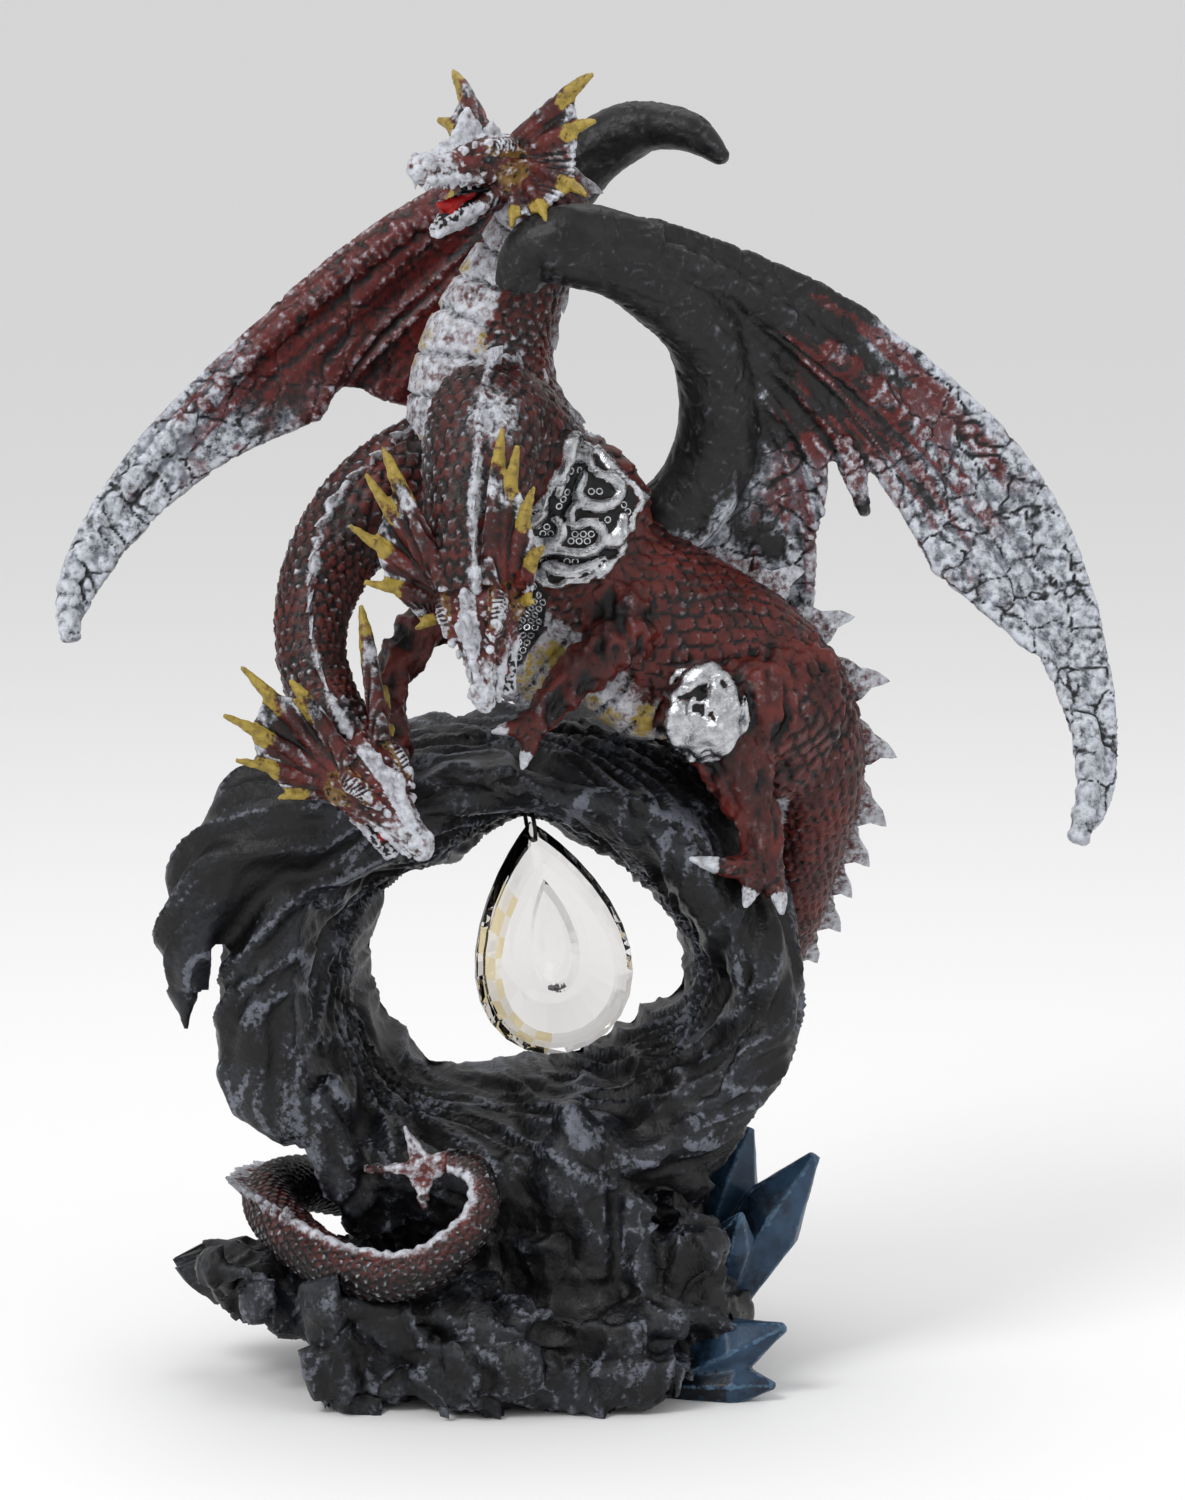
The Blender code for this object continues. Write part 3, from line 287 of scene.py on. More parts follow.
# One plate seen from the side, and its rows: line, backs, pitch, height, first and last share, way along
CREST_PLATE = (
    (-0.6, -0.4), (0.55, -0.4), (0.64, 0.05), (0.6, 0.45), (0.78, 1.0), (0.4, 0.86), (0.05, 0.5),
    (-0.2, 0.42), (-0.5, 0.1),
)
CREST_ROWS = (
    (TRUNK, TRUNK_BACKS, 9.5, 7.8, 0.10, 0.86, 1),
    (TAIL[6:11], TAIL_BACKS[6:11], 2.6, 4.4, 0.2, 0.85, 1),
    (HIGH_NECK, HIGH_NECK_BACKS, 7.5, 4.6, 0.30, 0.97, -1),
    (MIDDLE_NECK, MIDDLE_NECK_BACKS, 6.5, 3.4, 0.3, 0.92, 1),
    (LOW_NECK, LOW_NECK_BACKS, 5.5, 3.0, 0.22, 0.95, 1),
)

# Foot, point and radius of each crystal
CRYSTALS_HIGH = (
    ((35, -3, 12), (58, -7, 47), 8.2),
    ((34, 4, 20), (44.5, 7, 50), 7.6),
    ((39, -8, 21), (42, -24, 38), 4.4),
)
CRYSTALS_LOW = (
    ((24, -22, 1), (51, -30, 15.5), 6.8),
    ((27, -26, 2), (49, -32, 3.5), 5.2),
)

DROP_PLACE = (-2.1, -4, 117.6)  # tip of the drop
DROP_SIZE = (34, 12, 50)  # width, depth and height
DROP_TURN = 14  # degrees about its wire
DROP_LEAN = -9
DROP_SIDES = 28
DROP_RINGS = (  # shares of the width and of the height, how far out, and how high its middle is
    (0.10, 0.20, -0.16, 0.49), (0.24, 0.40, -0.22, 0.51), (0.31, 0.49, -0.38, 0.52),
    (0.72, 0.74, -0.38, 0.47), (0.80, 0.82, -0.34, 0.47), (0.91, 0.92, -0.24, 0.49),
    (1.0, 1.0, -0.10, 0.5), (1.0, 1.0, 0.02, 0.5), (0.80, 0.81, 0.16, 0.48), (0.50, 0.52, 0.27, 0.47),
    (0.22, 0.24, 0.33, 0.46),
)

# The photograph's view, in metres and degrees, and the soft lamps: place, size and power
TARGET = Vector((0.011, 0, 0.1322))
DISTANCE = 1.2
ELEVATION = 8
PICTURE_HEIGHT = 1500 * 0.00021
LAMPS = (
    ("key", (-0.55, -0.75, 0.95), 0.4, 6.5),
    ("fill", (0.8, -0.6, 0.5), 0.7, 1.2),
    ("top", (0.1, 0.3, 1.1), 0.7, 2.4),
)


def linear(code):
    """An sRGB hex colour as linear values."""
    parts = [int(code[i : i + 2], 16) / 255 for i in (1, 3, 5)]
    return (*(c / 12.92 if c <= 0.04045 else ((c + 0.055) / 1.055) ** 2.4 for c in parts), 1)


def add(tree, kind, inputs=None, **settings):
    """Adds a node with its settings, and its inputs as values or as links from other sockets."""
    node = tree.nodes.new(kind)
    for key, value in settings.items():
        setattr(node, key, value)
    for socket, value in (inputs or {}).items():
        if isinstance(value, bpy.types.NodeSocket):
            tree.links.new(value, node.inputs[socket])
        else:
            node.inputs[socket].default_value = value
    return node


def unit(v):
    """Vectors brought to length 1."""
    return v / np.maximum(np.linalg.norm(v, axis=-1, keepdims=True), 1e-9)


def clamp(values):
    """The values kept from 0 to 1."""
    return np.clip(values, 0, 1)


def bell(values):
    """1 at 0, and falling off smoothly to both sides."""
    return np.exp(-(values**2))


def ramp(values, low, high):
    """0 up to low, 1 from high on, and smooth between them."""
    t = clamp((values - low) / (high - low))
    return t * t * (3 - 2 * t)


def into_scene(name, data):
    """A new object in the scene."""
    thing = bpy.data.objects.new(name, data)
    bpy.context.scene.collection.objects.link(thing)
    return thing


def evaluated_mesh(thing):
    """The mesh of an object after its modifiers."""
    return bpy.data.meshes.new_from_object(thing.evaluated_get(bpy.context.evaluated_depsgraph_get()))


def smooth_line(stations, steps):
    """A smooth curve through the stations, steps points to a span. Further columns follow it."""
    given = np.array(stations, float)
    ends = np.vstack([2 * given[0] - given[1], given, 2 * given[-1] - given[-2]])
    made = []
    for a, b, c, d in zip(ends, ends[1:], ends[2:], ends[3:]):
        for t in np.linspace(0, 1, steps, endpoint=False):
            bend = 2 * a - 5 * b + 4 * c - d
            made.append(0.5 * (2 * b + (c - a) * t + bend * t**2 + (3 * b - a - 3 * c + d) * t**3))
    return np.array([*made, given[-1]])


def add_tube(bm, stations, sides=20, steps=6):
    """A round limb with closed ends through x, y, z, radius stations."""
    line = smooth_line(stations, steps)
    along = unit(np.gradient(line[:, :3], axis=0))
    across = np.cross(along[0], (0.3, 0.5, 0.8))
    turns = np.linspace(0, 2 * math.pi, sides, endpoint=False)
    rings = []
    for point, way in zip(line, along):
        across = unit(across - way * np.dot(across, way))
        other = np.cross(way, across)
        rings.append([
            bm.verts.new(point[:3] + point[3] * (math.cos(a) * across + math.sin(a) * other)) for a in turns
        ])
    join_loops(bm, rings)
    bm.faces.new(rings[0][::-1])
    bm.faces.new(rings[-1])


def join_loops(bm, loops):
    """Quads from each loop of corners to the next one."""
    for loop, after in zip(loops, loops[1:]):
        for i in range(len(loop)):
            j = (i + 1) % len(loop)
            bm.faces.new((loop[i], loop[j], after[j], after[i]))


def add_hull(bm, corners):
    """The smallest convex solid round some corners."""
    corners = [bm.verts.new(Vector(c)) for c in corners]
    bmesh.ops.convex_hull(bm, input=corners)
    bmesh.ops.delete(bm, geom=[v for v in corners if not v.link_faces], context="VERTS")


def add_web(bm, corners, thickness):
    """A thin plate with three or four corners."""
    corners = np.array(corners, float)
    face = unit(np.cross(corners[1] - corners[0], corners[2] - corners[0])) * thickness / 2
    add_hull(bm, [*(corners + face), *(corners - face)])


def add_ball(bm, ball, tilt):
    """An ellipsoid of x, y, z and its three radii, tilted about Y."""
    x, y, z, *radii = ball
    place = Matrix.Translation((x, y, z)) @ Matrix.Rotation(math.radians(tilt), 4, "Y")
    bmesh.ops.create_icosphere(bm, subdivisions=4, radius=1, matrix=place @ Matrix.Diagonal((*radii, 1)))


class Skin:
    """A dense skin of quads, in mm, with the values that its paint reads."""

    def __init__(self, bm, cell, soften=3):
        """Merges the overlapping shells of a bmesh into one skin of quads of one size."""
        bmesh.ops.recalc_face_normals(bm, faces=bm.faces)
        mesh = bpy.data.meshes.new("shells")
        bm.to_mesh(mesh)
        bm.free()
        thing = into_scene("shells", mesh)
        merge = thing.modifiers.new("one_skin", "REMESH")
        merge.mode = "VOXEL"
        merge.voxel_size = cell
        merged = evaluated_mesh(thing)
        bpy.data.objects.remove(thing)
        bpy.data.meshes.remove(mesh)

        def read(rows, key, width, kind):
            """One value of every row of the merged mesh."""
            found = np.empty(len(rows) * width, kind)
            rows.foreach_get(key, found)
            return found

        self.points = read(merged.vertices, "co", 3, np.float32).reshape(-1, 3).astype(float)
        corners = read(merged.loops, "vertex_index", 1, np.int32)
        starts = read(merged.polygons, "loop_start", 1, np.int32)
        sizes = read(merged.polygons, "loop_total", 1, np.int32)
        bpy.data.meshes.remove(merged)
        self.quads = corners[starts[sizes == 4][:, None] + np.arange(4)]
        self.values = {}
        self.edges = np.concatenate([self.quads, np.roll(self.quads, -1, axis=1)], axis=0).reshape(2, -1)
        self.count = np.maximum(np.bincount(self.edges[0], minlength=len(self.points)), 1)
        for _ in range(soften):
            self.points += 0.6 * (self.mean(self.points) - self.points)

    def mean(self, values):
        """The mean of each point's neighbours."""
        tails, heads = self.edges
        if values.ndim == 1:
            return np.bincount(tails, values[heads], len(self.points)) / self.count
        return np.stack([self.mean(column) for column in values.T], axis=1)

    def normals(self):
        """The way out of the skin at each point."""
        a, b, c, d = (self.points[self.quads[:, k]] for k in range(4))
        face = np.cross(c - a, d - b)
        total = np.zeros_like(self.points)
        for k in range(4):
            for axis in range(3):
                total[:, axis] += np.bincount(self.quads[:, k], face[:, axis], len(self.points))
        return unit(total)

    def raise_by(self, heights):
        """Moves each point out of the skin, or into it where its height is negative."""
        self.points += self.normals() * heights[:, None]

    # Ridges found here take the dry-brush, and hollows found here take painted shade
    def ridges_and_hollows(self, passes=3):
        """How much each point stands out of its surroundings, from -1 in a groove to 1 on a ridge."""
        around = self.points.copy()
        for _ in range(passes):
            around = self.mean(around)
        out = np.einsum("ij,ij->i", self.points - around, self.normals())
        return np.clip(out / np.percentile(np.abs(out), 92), -1, 1)

    def finish(self, name, material, slot, *nodes):
        """Makes the skin a piece in metres, with its values as attributes."""
        mesh = bpy.data.meshes.new(name)
        mesh.from_pydata((self.points * MM).tolist(), [], self.quads.tolist())
        for key, values in self.values.items():
            made = mesh.attributes.new(key, "FLOAT", "POINT")
            made.data.foreach_set("value", values.astype(np.float32))
        mesh.polygons.foreach_set("use_smooth", np.ones(len(mesh.polygons), bool))
        return place(name, mesh, material, slot, *nodes)


def place(name, mesh, material, slot, *nodes):
    """Makes a piece of a mesh, on the root body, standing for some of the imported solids."""
    mesh.materials.clear()
    mesh.materials.append(material)
    piece = into_scene(name, mesh)
    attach(piece, "root")
    if nodes:
        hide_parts(*nodes)
    return piece


def noise_at(points, size, seed=0.0, octaves=2):
    """Smooth noise from about -1 to 1 at points, with features of one size in mm."""
    total = np.zeros(len(points))
    for octave in range(octaves):
        scaled = points * (2**octave / size) + seed
        total += np.array([noise.noise(Vector(p)) for p in scaled]) / 2**octave
    return total * 1.3


def cells_at(points, size, seed=0.0):
    """Distance from the border between rounded cells of one size in mm, 0 on the border."""
    found = [noise.voronoi(Vector(p))[0] for p in points / size + seed]
    return np.array([f[1] - f[0] for f in found])


def creases(places, sharpness=2.4):
    """1 along crease lines, and lower away from them."""
    return np.array([1 - sharpness * abs(noise.noise(Vector(spot))) for spot in places])


def facets(points, size, seed):
    """Broken faces: in each cell of rock the height runs along a plane of its own, in mm."""
    heights = []
    for spot in points / size + seed:
        middle = noise.voronoi(Vector(spot))[1][0]
        slope = noise.cell_vector(middle * 7.3)
        heights.append((Vector(spot) - middle).dot(slope) + 0.22 * slope.x)
    return np.array(heights) * size * 0.28


class Line:
    """A centre line with its radius, the way it runs and the way its back faces."""

    def __init__(self, stations, backs=None, steps=10):
        line = smooth_line(stations, steps)
        self.points, self.radii = line[:, :3], line[:, 3]
        self.way = unit(np.gradient(self.points, axis=0))
        back = smooth_line(backs, steps) if backs else np.tile((0.0, -1.0, 0.25), (len(line), 1))
        self.back = unit(back - self.way * np.sum(back * self.way, axis=1, keepdims=True))
        self.side = np.cross(self.way, self.back)
        self.run = np.concatenate([[0], np.cumsum(np.linalg.norm(np.diff(self.points, axis=0), axis=1))])


def nearest(points, lines):
    """Each point's nearest line, how far along it, the angle from its back, and the line's radius there."""
    best = np.full(len(points), np.inf)
    which = np.zeros(len(points), int)
    along, turn, radius = (np.zeros(len(points)) for _ in range(3))
    for k, line in enumerate(lines):
        gap = np.full(len(points), np.inf)
        index = np.zeros(len(points), int)
        for i, (centre, r) in enumerate(zip(line.points, line.radii)):
            far = np.linalg.norm(points - centre, axis=1) / r
            closer = far < gap
            gap[closer] = far[closer]
            index[closer] = i
        out = points - line.points[index]
        ahead = np.sum(out * line.way[index], axis=1)
        take = gap < best
        best[take] = gap[take]
        which[take] = k
        along[take] = (line.run[index] + ahead)[take]
        radius[take] = line.radii[index][take]
        angle = np.arctan2(np.sum(out * line.side[index], axis=1), np.sum(out * line.back[index], axis=1))
        turn[take] = angle[take]
    return which, along, turn, radius


def scales(along, around):
    """Overlapping rounded scales, tips to +along: height, the groove below each tip, and the tip's edge."""
    height, groove, edge = (np.zeros(len(along)) for _ in range(3))
    for back in (0, 1):
        row = np.floor(along) - back
        u = along - row
        v = around + 0.5 * (row % 2)
        v = v - np.floor(v) - 0.5
        gap = u - (1.55 - 3.4 * v * v)
        inside = gap < 0
        height[inside] = (0.2 + 0.52 * u * (1 - 0.8 * v * v))[inside]
        groove[inside] = 0
        edge[inside] = 0
        groove = np.where(inside, groove, np.maximum(groove, back * clamp(1.3 - gap / 0.3)))
        edge = np.where(inside, clamp(1 + gap / 0.32), edge)
    return height, groove, edge


def inside_outline(x, z, outline):
    """Distance in from the border of an outline seen from the front, negative outside it."""
    corners = np.array(outline, float)
    inside = np.zeros(len(x), bool)
    nearest_border = np.full(len(x), np.inf)
    for (ax, az), (bx, bz) in zip(corners, np.roll(corners, -1, axis=0)):
        crosses = (az > z) != (bz > z)
        with np.errstate(divide="ignore", invalid="ignore"):
            inside ^= crosses & (x < (bx - ax) * (z - az) / (bz - az) + ax)
        t = clamp(((x - ax) * (bx - ax) + (z - az) * (bz - az)) / ((bx - ax) ** 2 + (bz - az) ** 2))
        nearest_border = np.minimum(nearest_border, np.hypot(x - ax - t * (bx - ax), z - az - t * (bz - az)))
    return np.where(inside, nearest_border, -nearest_border)


def off_curve(x, z, curve):
    """Distance from a smooth curve seen from the front, and the share of the curve's length there."""
    line = smooth_line(curve, 8)
    best = np.full(len(x), np.inf)
    share = np.zeros(len(x))
    for i, (cx, cz) in enumerate(line):
        far = np.hypot(x - cx, z - cz)
        share = np.where(far < best, i / (len(line) - 1), share)
        best = np.minimum(best, far)
    return best, share


def painted(name, base, layers, roughness, bump, brush_size=1.5, mottle=7):
    """Hand-painted resin. Each layer is scuffed on where its attribute asks for it, thick or thin."""
    made = bpy.data.materials.new(name)
    made.use_nodes = True
    tree = made.node_tree
    shader = tree.nodes["Principled BSDF"]
    shader.inputs["Specular IOR Level"].default_value = SHEEN
    where = add(tree, "ShaderNodeTexCoord").outputs["Object"]

    def spots(size, output, low, high, depth=5.0):
        """Spots of a size in mm: 0 up to the noise's low level, and 1 from its high level on."""
        pattern = add(
            tree, "ShaderNodeTexNoise",
            {"Vector": where, "Scale": 1 / (size * MM), "Detail": depth, "Roughness": 0.65},
        )
        level = pattern.outputs["Fac"]
        if output:
            parts = add(tree, "ShaderNodeSeparateColor", {"Color": pattern.outputs["Color"]})
            level = parts.outputs[output]
        spread = add(tree, "ShaderNodeMapRange", {"Value": level, "From Min": low, "From Max": high})
        return spread.outputs["Result"]

    brush = spots(brush_size, "", 0.34, 0.66)
    thin = spots(brush_size * 1.3, "Green", 0.36, 0.58)
    tone = spots(mottle, "", 0.38, 0.62, 3.0)
    colour = add(
        tree, "ShaderNodeMix", {"Factor": tone, "A": linear(base[0]), "B": linear(base[1])}, data_type="RGBA"
    ).outputs["Result"]
    rough = add(tree, "ShaderNodeMath", {0: brush, 1: 0.14, 2: roughness - 0.06}, operation="MULTIPLY_ADD")
    for attribute, code, broken, soft in layers:
        asked = add(tree, "ShaderNodeAttribute", attribute_name=attribute).outputs["Fac"]
        spread = add(tree, "ShaderNodeMath", {0: brush, 1: broken, 2: asked}, operation="MULTIPLY_ADD")
        middle = 0.5 + broken / 2
        mask = add(
            tree, "ShaderNodeMapRange",
            {"Value": spread.outputs["Value"], "From Min": middle - soft / 2, "From Max": middle + soft / 2},
            interpolation_type="SMOOTHSTEP",
        ).outputs["Result"]
        reached = add(
            tree, "ShaderNodeMapRange", {"Value": asked, "From Min": SHOWS_FROM, "From Max": SHOWS_FULLY}
        ).outputs["Result"]
        mask = add(tree, "ShaderNodeMath", {0: mask, 1: reached}, operation="MULTIPLY").outputs["Value"]
        thick = linear(code)
        faint = (*(c * THIN_COAT for c in thick[:3]), 1.0)
        coat = add(tree, "ShaderNodeMix", {"Factor": thin, "A": faint, "B": thick}, data_type="RGBA")
        colour = add(
            tree, "ShaderNodeMix", {"Factor": mask, "A": colour, "B": coat.outputs["Result"]},
            data_type="RGBA",
        ).outputs["Result"]
        if attribute == "silver":
            tree.links.new(mask, shader.inputs["Metallic"])
            rough = add(
                tree, "ShaderNodeMath", {0: mask, 1: -0.16, 2: rough.outputs["Value"]},
                operation="MULTIPLY_ADD",
            )
    tree.links.new(colour, shader.inputs["Base Color"])
    tree.links.new(rough.outputs["Value"], shader.inputs["Roughness"])
    relief = add(tree, "ShaderNodeBump", {"Height": brush, "Distance": bump * MM, "Strength": 0.7})
    tree.links.new(relief.outputs["Normal"], shader.inputs["Normal"])
    return made


def plain(name, colour, **values):
    """A material of plain values on its shader."""
    made = bpy.data.materials.new(name)
    made.use_nodes = True
    shader = made.node_tree.nodes["Principled BSDF"]
    shader.inputs["Base Color"].default_value = linear(colour)
    for socket, value in values.items():
        shader.inputs[socket.replace("_", " ")].default_value = value
    return made


def make_materials():
    """The finishes, each named for the real one."""
    made = {}
    # Oxide red acrylic, brushed on: dull and warm under a black wash, with painted shade in its grooves and
    # hollows, a white dry-brush on the scales, ochre horn tips, bright silver armour and scarlet tongues
    made["dragon"] = painted(
        "dragon_acrylic_on_resin", ("#351310", "#5e231e"),
        (
            ("deep", "#0a0607", 0.4, 0.8), ("gold", "#7a5c2c", 0.8, 0.5), ("black", "#0a0a0c", 0.5, 0.5),
            ("white", "#c6c9d1", 0.9, 0.9), ("yellow", "#a08a3e", 0.9, 0.6), ("silver", "#c4c6ca", 0.2, 0.2),
            ("scarlet", "#a30d0d", 0.2, 0.2),
        ),
        0.38, 0.12,
    )
    # The same acrylic on the wings: charcoal arms, red streaks and chalky skin with dark cracks and painted
    # shade in its hollows
    made["wing"] = painted(
        "wing_acrylic_on_resin", ("#0f0e0f", "#1c1b1c"),
        (
            ("grey", "#757a85", 0.8, 0.9), ("red", "#5c1a18", 0.8, 0.8), ("white", "#c6cad3", 0.9, 0.9),
            ("crack", "#0b0b0e", 0.6, 0.8),
        ),
        0.4, 0.1,
    )
    # Satin black rock with a cool grey dry-brush along its folds
    made["rock"] = painted(
        "rock_acrylic_on_resin", ("#060607", "#0e0e10"),
        (("haze", "#23252b", 0.9, 0.8), ("ridge", "#666974", 1.1, 0.6)),
        0.36, 0.14, brush_size=1.2, mottle=11,
    )
    # Dull steel blue on the crystals, nearly black in their shade
    made["crystal"] = painted(
        "crystal_blue_satin", ("#1d3044", "#2a435c"),
        (("shade", "#090d12", 0.4, 0.7), ("rim", "#4b6780", 1.0, 0.6)), 0.38, 0.06,
    )
    # Polished lead crystal, clear, with a painted straw gleam in the colour of the facets where they split
    # the light
    glass = plain("clear_cut_glass", "#ffffff", Roughness=0.0, IOR=1.54, Transmission_Weight=1.0)
    tree = glass.node_tree
    gleam = add(tree, "ShaderNodeAttribute", attribute_name="gleam").outputs["Fac"]
    tinted = add(
        tree, "ShaderNodeMix", {"Factor": gleam, "A": linear("#eae8e7"), "B": linear("#d4b24a")},
        data_type="RGBA",
    )
    tree.links.new(tinted.outputs["Result"], tree.nodes["Principled BSDF"].inputs["Base Color"])
    made["glass"] = glass
    # Blackened steel wire, slightly worn
    wire = plain("blackened_steel_wire", "#101012", Metallic=1.0, Roughness=0.42)
    tree = wire.node_tree
    where = add(tree, "ShaderNodeTexCoord").outputs["Object"]
    wear = add(tree, "ShaderNodeTexNoise", {"Vector": where, "Scale": 1 / (1.5 * MM)})
    worn = add(
        tree, "ShaderNodeMix",
        {"Factor": wear.outputs["Fac"], "A": linear("#101012"), "B": linear("#3c3a38")}, data_type="RGBA",
    )
    tree.links.new(worn.outputs["Result"], tree.nodes["Principled BSDF"].inputs["Base Color"])
    made["wire"] = wire
    # White studio paper, matt
    made["paper"] = plain("white_paper", "#f6f6f6", Roughness=0.9)
    return made


def make_torso(materials):
    """Breast, belly, haunches, legs and the three necks, with scales, belly plates and armour."""
    bm = bmesh.new()
    for stations in (TRUNK, HIGH_NECK, MIDDLE_NECK, LOW_NECK):
        add_tube(bm, stations, sides=32)
    limbs = (RIGHT_FORELEG, RIGHT_THIGH, RIGHT_SHIN, LEFT_FORELEG, LEFT_HIND_LEG, *TOES)
    for stations in limbs:
        add_tube(bm, stations)
    for ball, tilt in BALLS:
        add_ball(bm, ball, tilt)
    skin = Skin(bm, CELL_TORSO, soften=5)
    lines = [
        Line(TRUNK, TRUNK_BACKS), Line(HIGH_NECK, HIGH_NECK_BACKS), Line(MIDDLE_NECK, MIDDLE_NECK_BACKS),
        Line(LOW_NECK, LOW_NECK_BACKS), *(Line(stations) for stations in limbs),
    ]
    p = skin.points.copy()
    x, y, z = p.T
    which, along, turn, radius = nearest(p, lines)
    facing = -skin.normals()[:, 1]
    trunk = which == 0
    neck = (which >= 1) & (which <= 3)
    lower_necks = (which == 2) | (which == 3)
    toe = which >= 9
    hip = bell(np.linalg.norm(p - (52, -12, 140), axis=1) / 15) > 0.4
    limb = (which >= 4) & ~toe
    sinewy = limb & ~hip
    patches = noise_at(p, 9, 3.1)
    speckle = noise_at(p, 2.2, 7.7)

    # Scales, belly plates and sinews
    length = np.where(neck, 2.7, np.where(trunk, 2.9, 2.6))
    rows = np.where(neck, -along, along) / length + 0.35 * noise_at(p, 9, 23.0)
    across = np.round(2 * math.pi * np.where(neck, 10, np.where(trunk, 15, 7)) / (length * 1.05))
    columns = turn / (2 * math.pi) * across + 0.3 * noise_at(p, 11, 27.0)
    scale, under, tips = scales(rows, columns)
    low_trunk = trunk & (along > 72)
    high_belly = 1.35 + 0.75 * ramp(z, 205, 238) + 0.2 * patches
    belly_from = np.where(neck, np.where(which == 1, high_belly, 2.3), np.where(low_trunk, 2.0, 2.35))
    belly = np.where(neck | trunk, ramp(np.abs(turn), belly_from, belly_from + 0.25), 0)
    on_belly = belly > 0.5
    pitch = np.where(which == 1, 7.0, 5.2)
    plates = 1 - ramp(np.abs(((along / pitch + 0.14 * patches) % 1) - 0.5) * 2, 0.72, 0.98)
    muscle = noise_at(p * (1, 1, 0.6), 2.6, 9.0, 3)
    cords = 1 - 2.4 * np.abs(noise_at(p * (1, 1, 0.45), 5.5, 19.0, 2))

    # Armour on the breast and the knee, and the strip of mail
    knee = np.where((facing > 0.0) & (y < -20), inside_outline(x, z, KNEE_PLATE), -9)
    in_front = (facing > -0.15) & (y < -3) & (y > -36)
    breast = np.where(in_front, inside_outline(x, z, BREAST_PLATE) + 1.3 * noise_at(p, 5, 44.0), -9)
    mail = np.where(in_front & (breast < 0), inside_outline(x, z, MAIL_STRIP), -9)
    scroll = np.zeros(len(p))
    near = breast > -1
    for curve in BREAST_SCROLLS:
        far, share = off_curve(x[near], z[near], curve)
        width = 1.6 - 0.8 * share
        scroll[near] = np.maximum(scroll[near], np.sqrt(clamp(1 - (far / width) ** 2)))
    hem = ramp(breast, -0.4, 0.2) * (1 - ramp(breast, 1.0, 1.8))
    armour = ramp(breast, -0.5, 0.2)
    kneecap = ramp(knee, -0.8, 0.2)
    mail_shows = ramp(mail, -0.3, 0.3)
    armoured = np.maximum(np.maximum(armour, kneecap), mail_shows)
    bare = 1 - armoured

    lumps = np.where(neck, 1.15, np.where(trunk, 1.05, np.where(hip, 1.2, 0.5)))
    relief = scale * lumps * (1 - belly) * np.where(toe, 0.3, 1)
    relief += belly * plates * np.where(neck, 1.4, 1.0)
    relief += np.where(sinewy, muscle * 0.8 + cords * 0.85 - 0.2, 0) + 0.2 * speckle
    ridge_line = bell(turn * radius / (0.75 + 0.45 * patches + 0.3 * speckle)) * lower_necks
    relief += ridge_line * (0.9 + 1.3 * patches + 0.8 * speckle)
    relief *= bare
    pits = ramp(noise_at(p, 3.0, 5.5), 0.25, 0.5)
    beads = 0.5 + 0.5 * np.sin(x * 3.4) * np.sin(z * 3.4)
    relief += armour * (1.0 + 1.7 * scroll + hem * (0.8 + 0.7 * beads))
    knee_hem = 1 - ramp(knee, 0.6, 1.6)
    relief += kneecap * (1.4 - 1.5 * pits + 0.7 * muscle + 1.4 * noise_at(p, 6.0, 61.0) + 0.8 * knee_hem)
    skin.raise_by(relief)

    # Paint
    wear = skin.ridges_and_hollows(4)
    value = skin.values
    # deep: the black wash in the scale grooves and plate gaps, with painted shade in the hollows, and darker
    # all over the two lower necks
    groove = np.where(on_belly, 1 - plates, np.where(sinewy, 0.3 - 0.7 * cords, under))
    deep = 0.8 * groove + 0.4 * clamp(-wear) + 0.25 * patches + 0.16 + 0.3 * lower_necks * bare
    value["deep"] = clamp(deep) * bare
    pitted = ramp(pits, 0.4, 0.9)
    black = clamp(armour * (1 - scroll) * (1 - hem) + mail_shows)
    black = np.maximum(black, np.where(on_belly, (1 - plates) * 0.9, 0) * bare)
    value["black"] = np.maximum(black, kneecap * pitted)
    white = 0.55 * belly + 0.16 * belly * plates + 0.34 * clamp(wear) + 0.2 * patches - 0.08
    white += 0.22 * tips * (1 - belly) * ~limb
    white *= np.where(neck, 1, np.where(on_belly, 1.1, 0.6))
    white = np.maximum(white, ridge_line * (0.85 + 0.5 * patches))
    shoulder = bell(np.hypot(x + 9, z - 206) / 5) * (which == 2)
    white = np.maximum(white, 0.75 * shoulder + 0.3 * shoulder * wear)
    claws = toe & (along > 0.6 * np.array([line.run[-1] for line in lines])[which])
    white = np.where(claws, 0.85 + 0.2 * patches, white)
    under_breast = (np.abs(x - 1) < 9.5) & (z < 160)
    under_belly = (x < 30) & (z < 147 - 0.3 * (x - 8))
    pale_skin = (y < -12) & (y > -33) & trunk & (under_breast | under_belly)
    white = np.where(pale_skin, 0.6 + 0.25 * np.clip(wear, -1, 1), white)
    value["white"] = clamp(white) * bare
    yellow = np.where(on_belly, ramp(patches, 0.0, 0.5) * plates * np.where(low_trunk, 0.9, 0.55), 0) * bare
    for spot_x, spot_z, size in YELLOW_SPOTS:
        far = (x - spot_x) ** 2 + (z - spot_z) ** 2
        yellow = np.maximum(yellow, np.exp(-far / size**2) * ((pale_skin | on_belly) & (facing > 0)))
    value["yellow"] = yellow
    value["silver"] = clamp(armour * np.maximum(scroll * 1.3, hem) + kneecap * (1 - pitted))
    value["gold"] = np.zeros(len(p))
    value["scarlet"] = np.zeros(len(p))
    surface = BVHTree.FromPolygons(skin.points.tolist(), skin.quads.tolist())
    skin.finish("dragon_body", materials["dragon"], "dragon_paint", "dragon")
    return surface


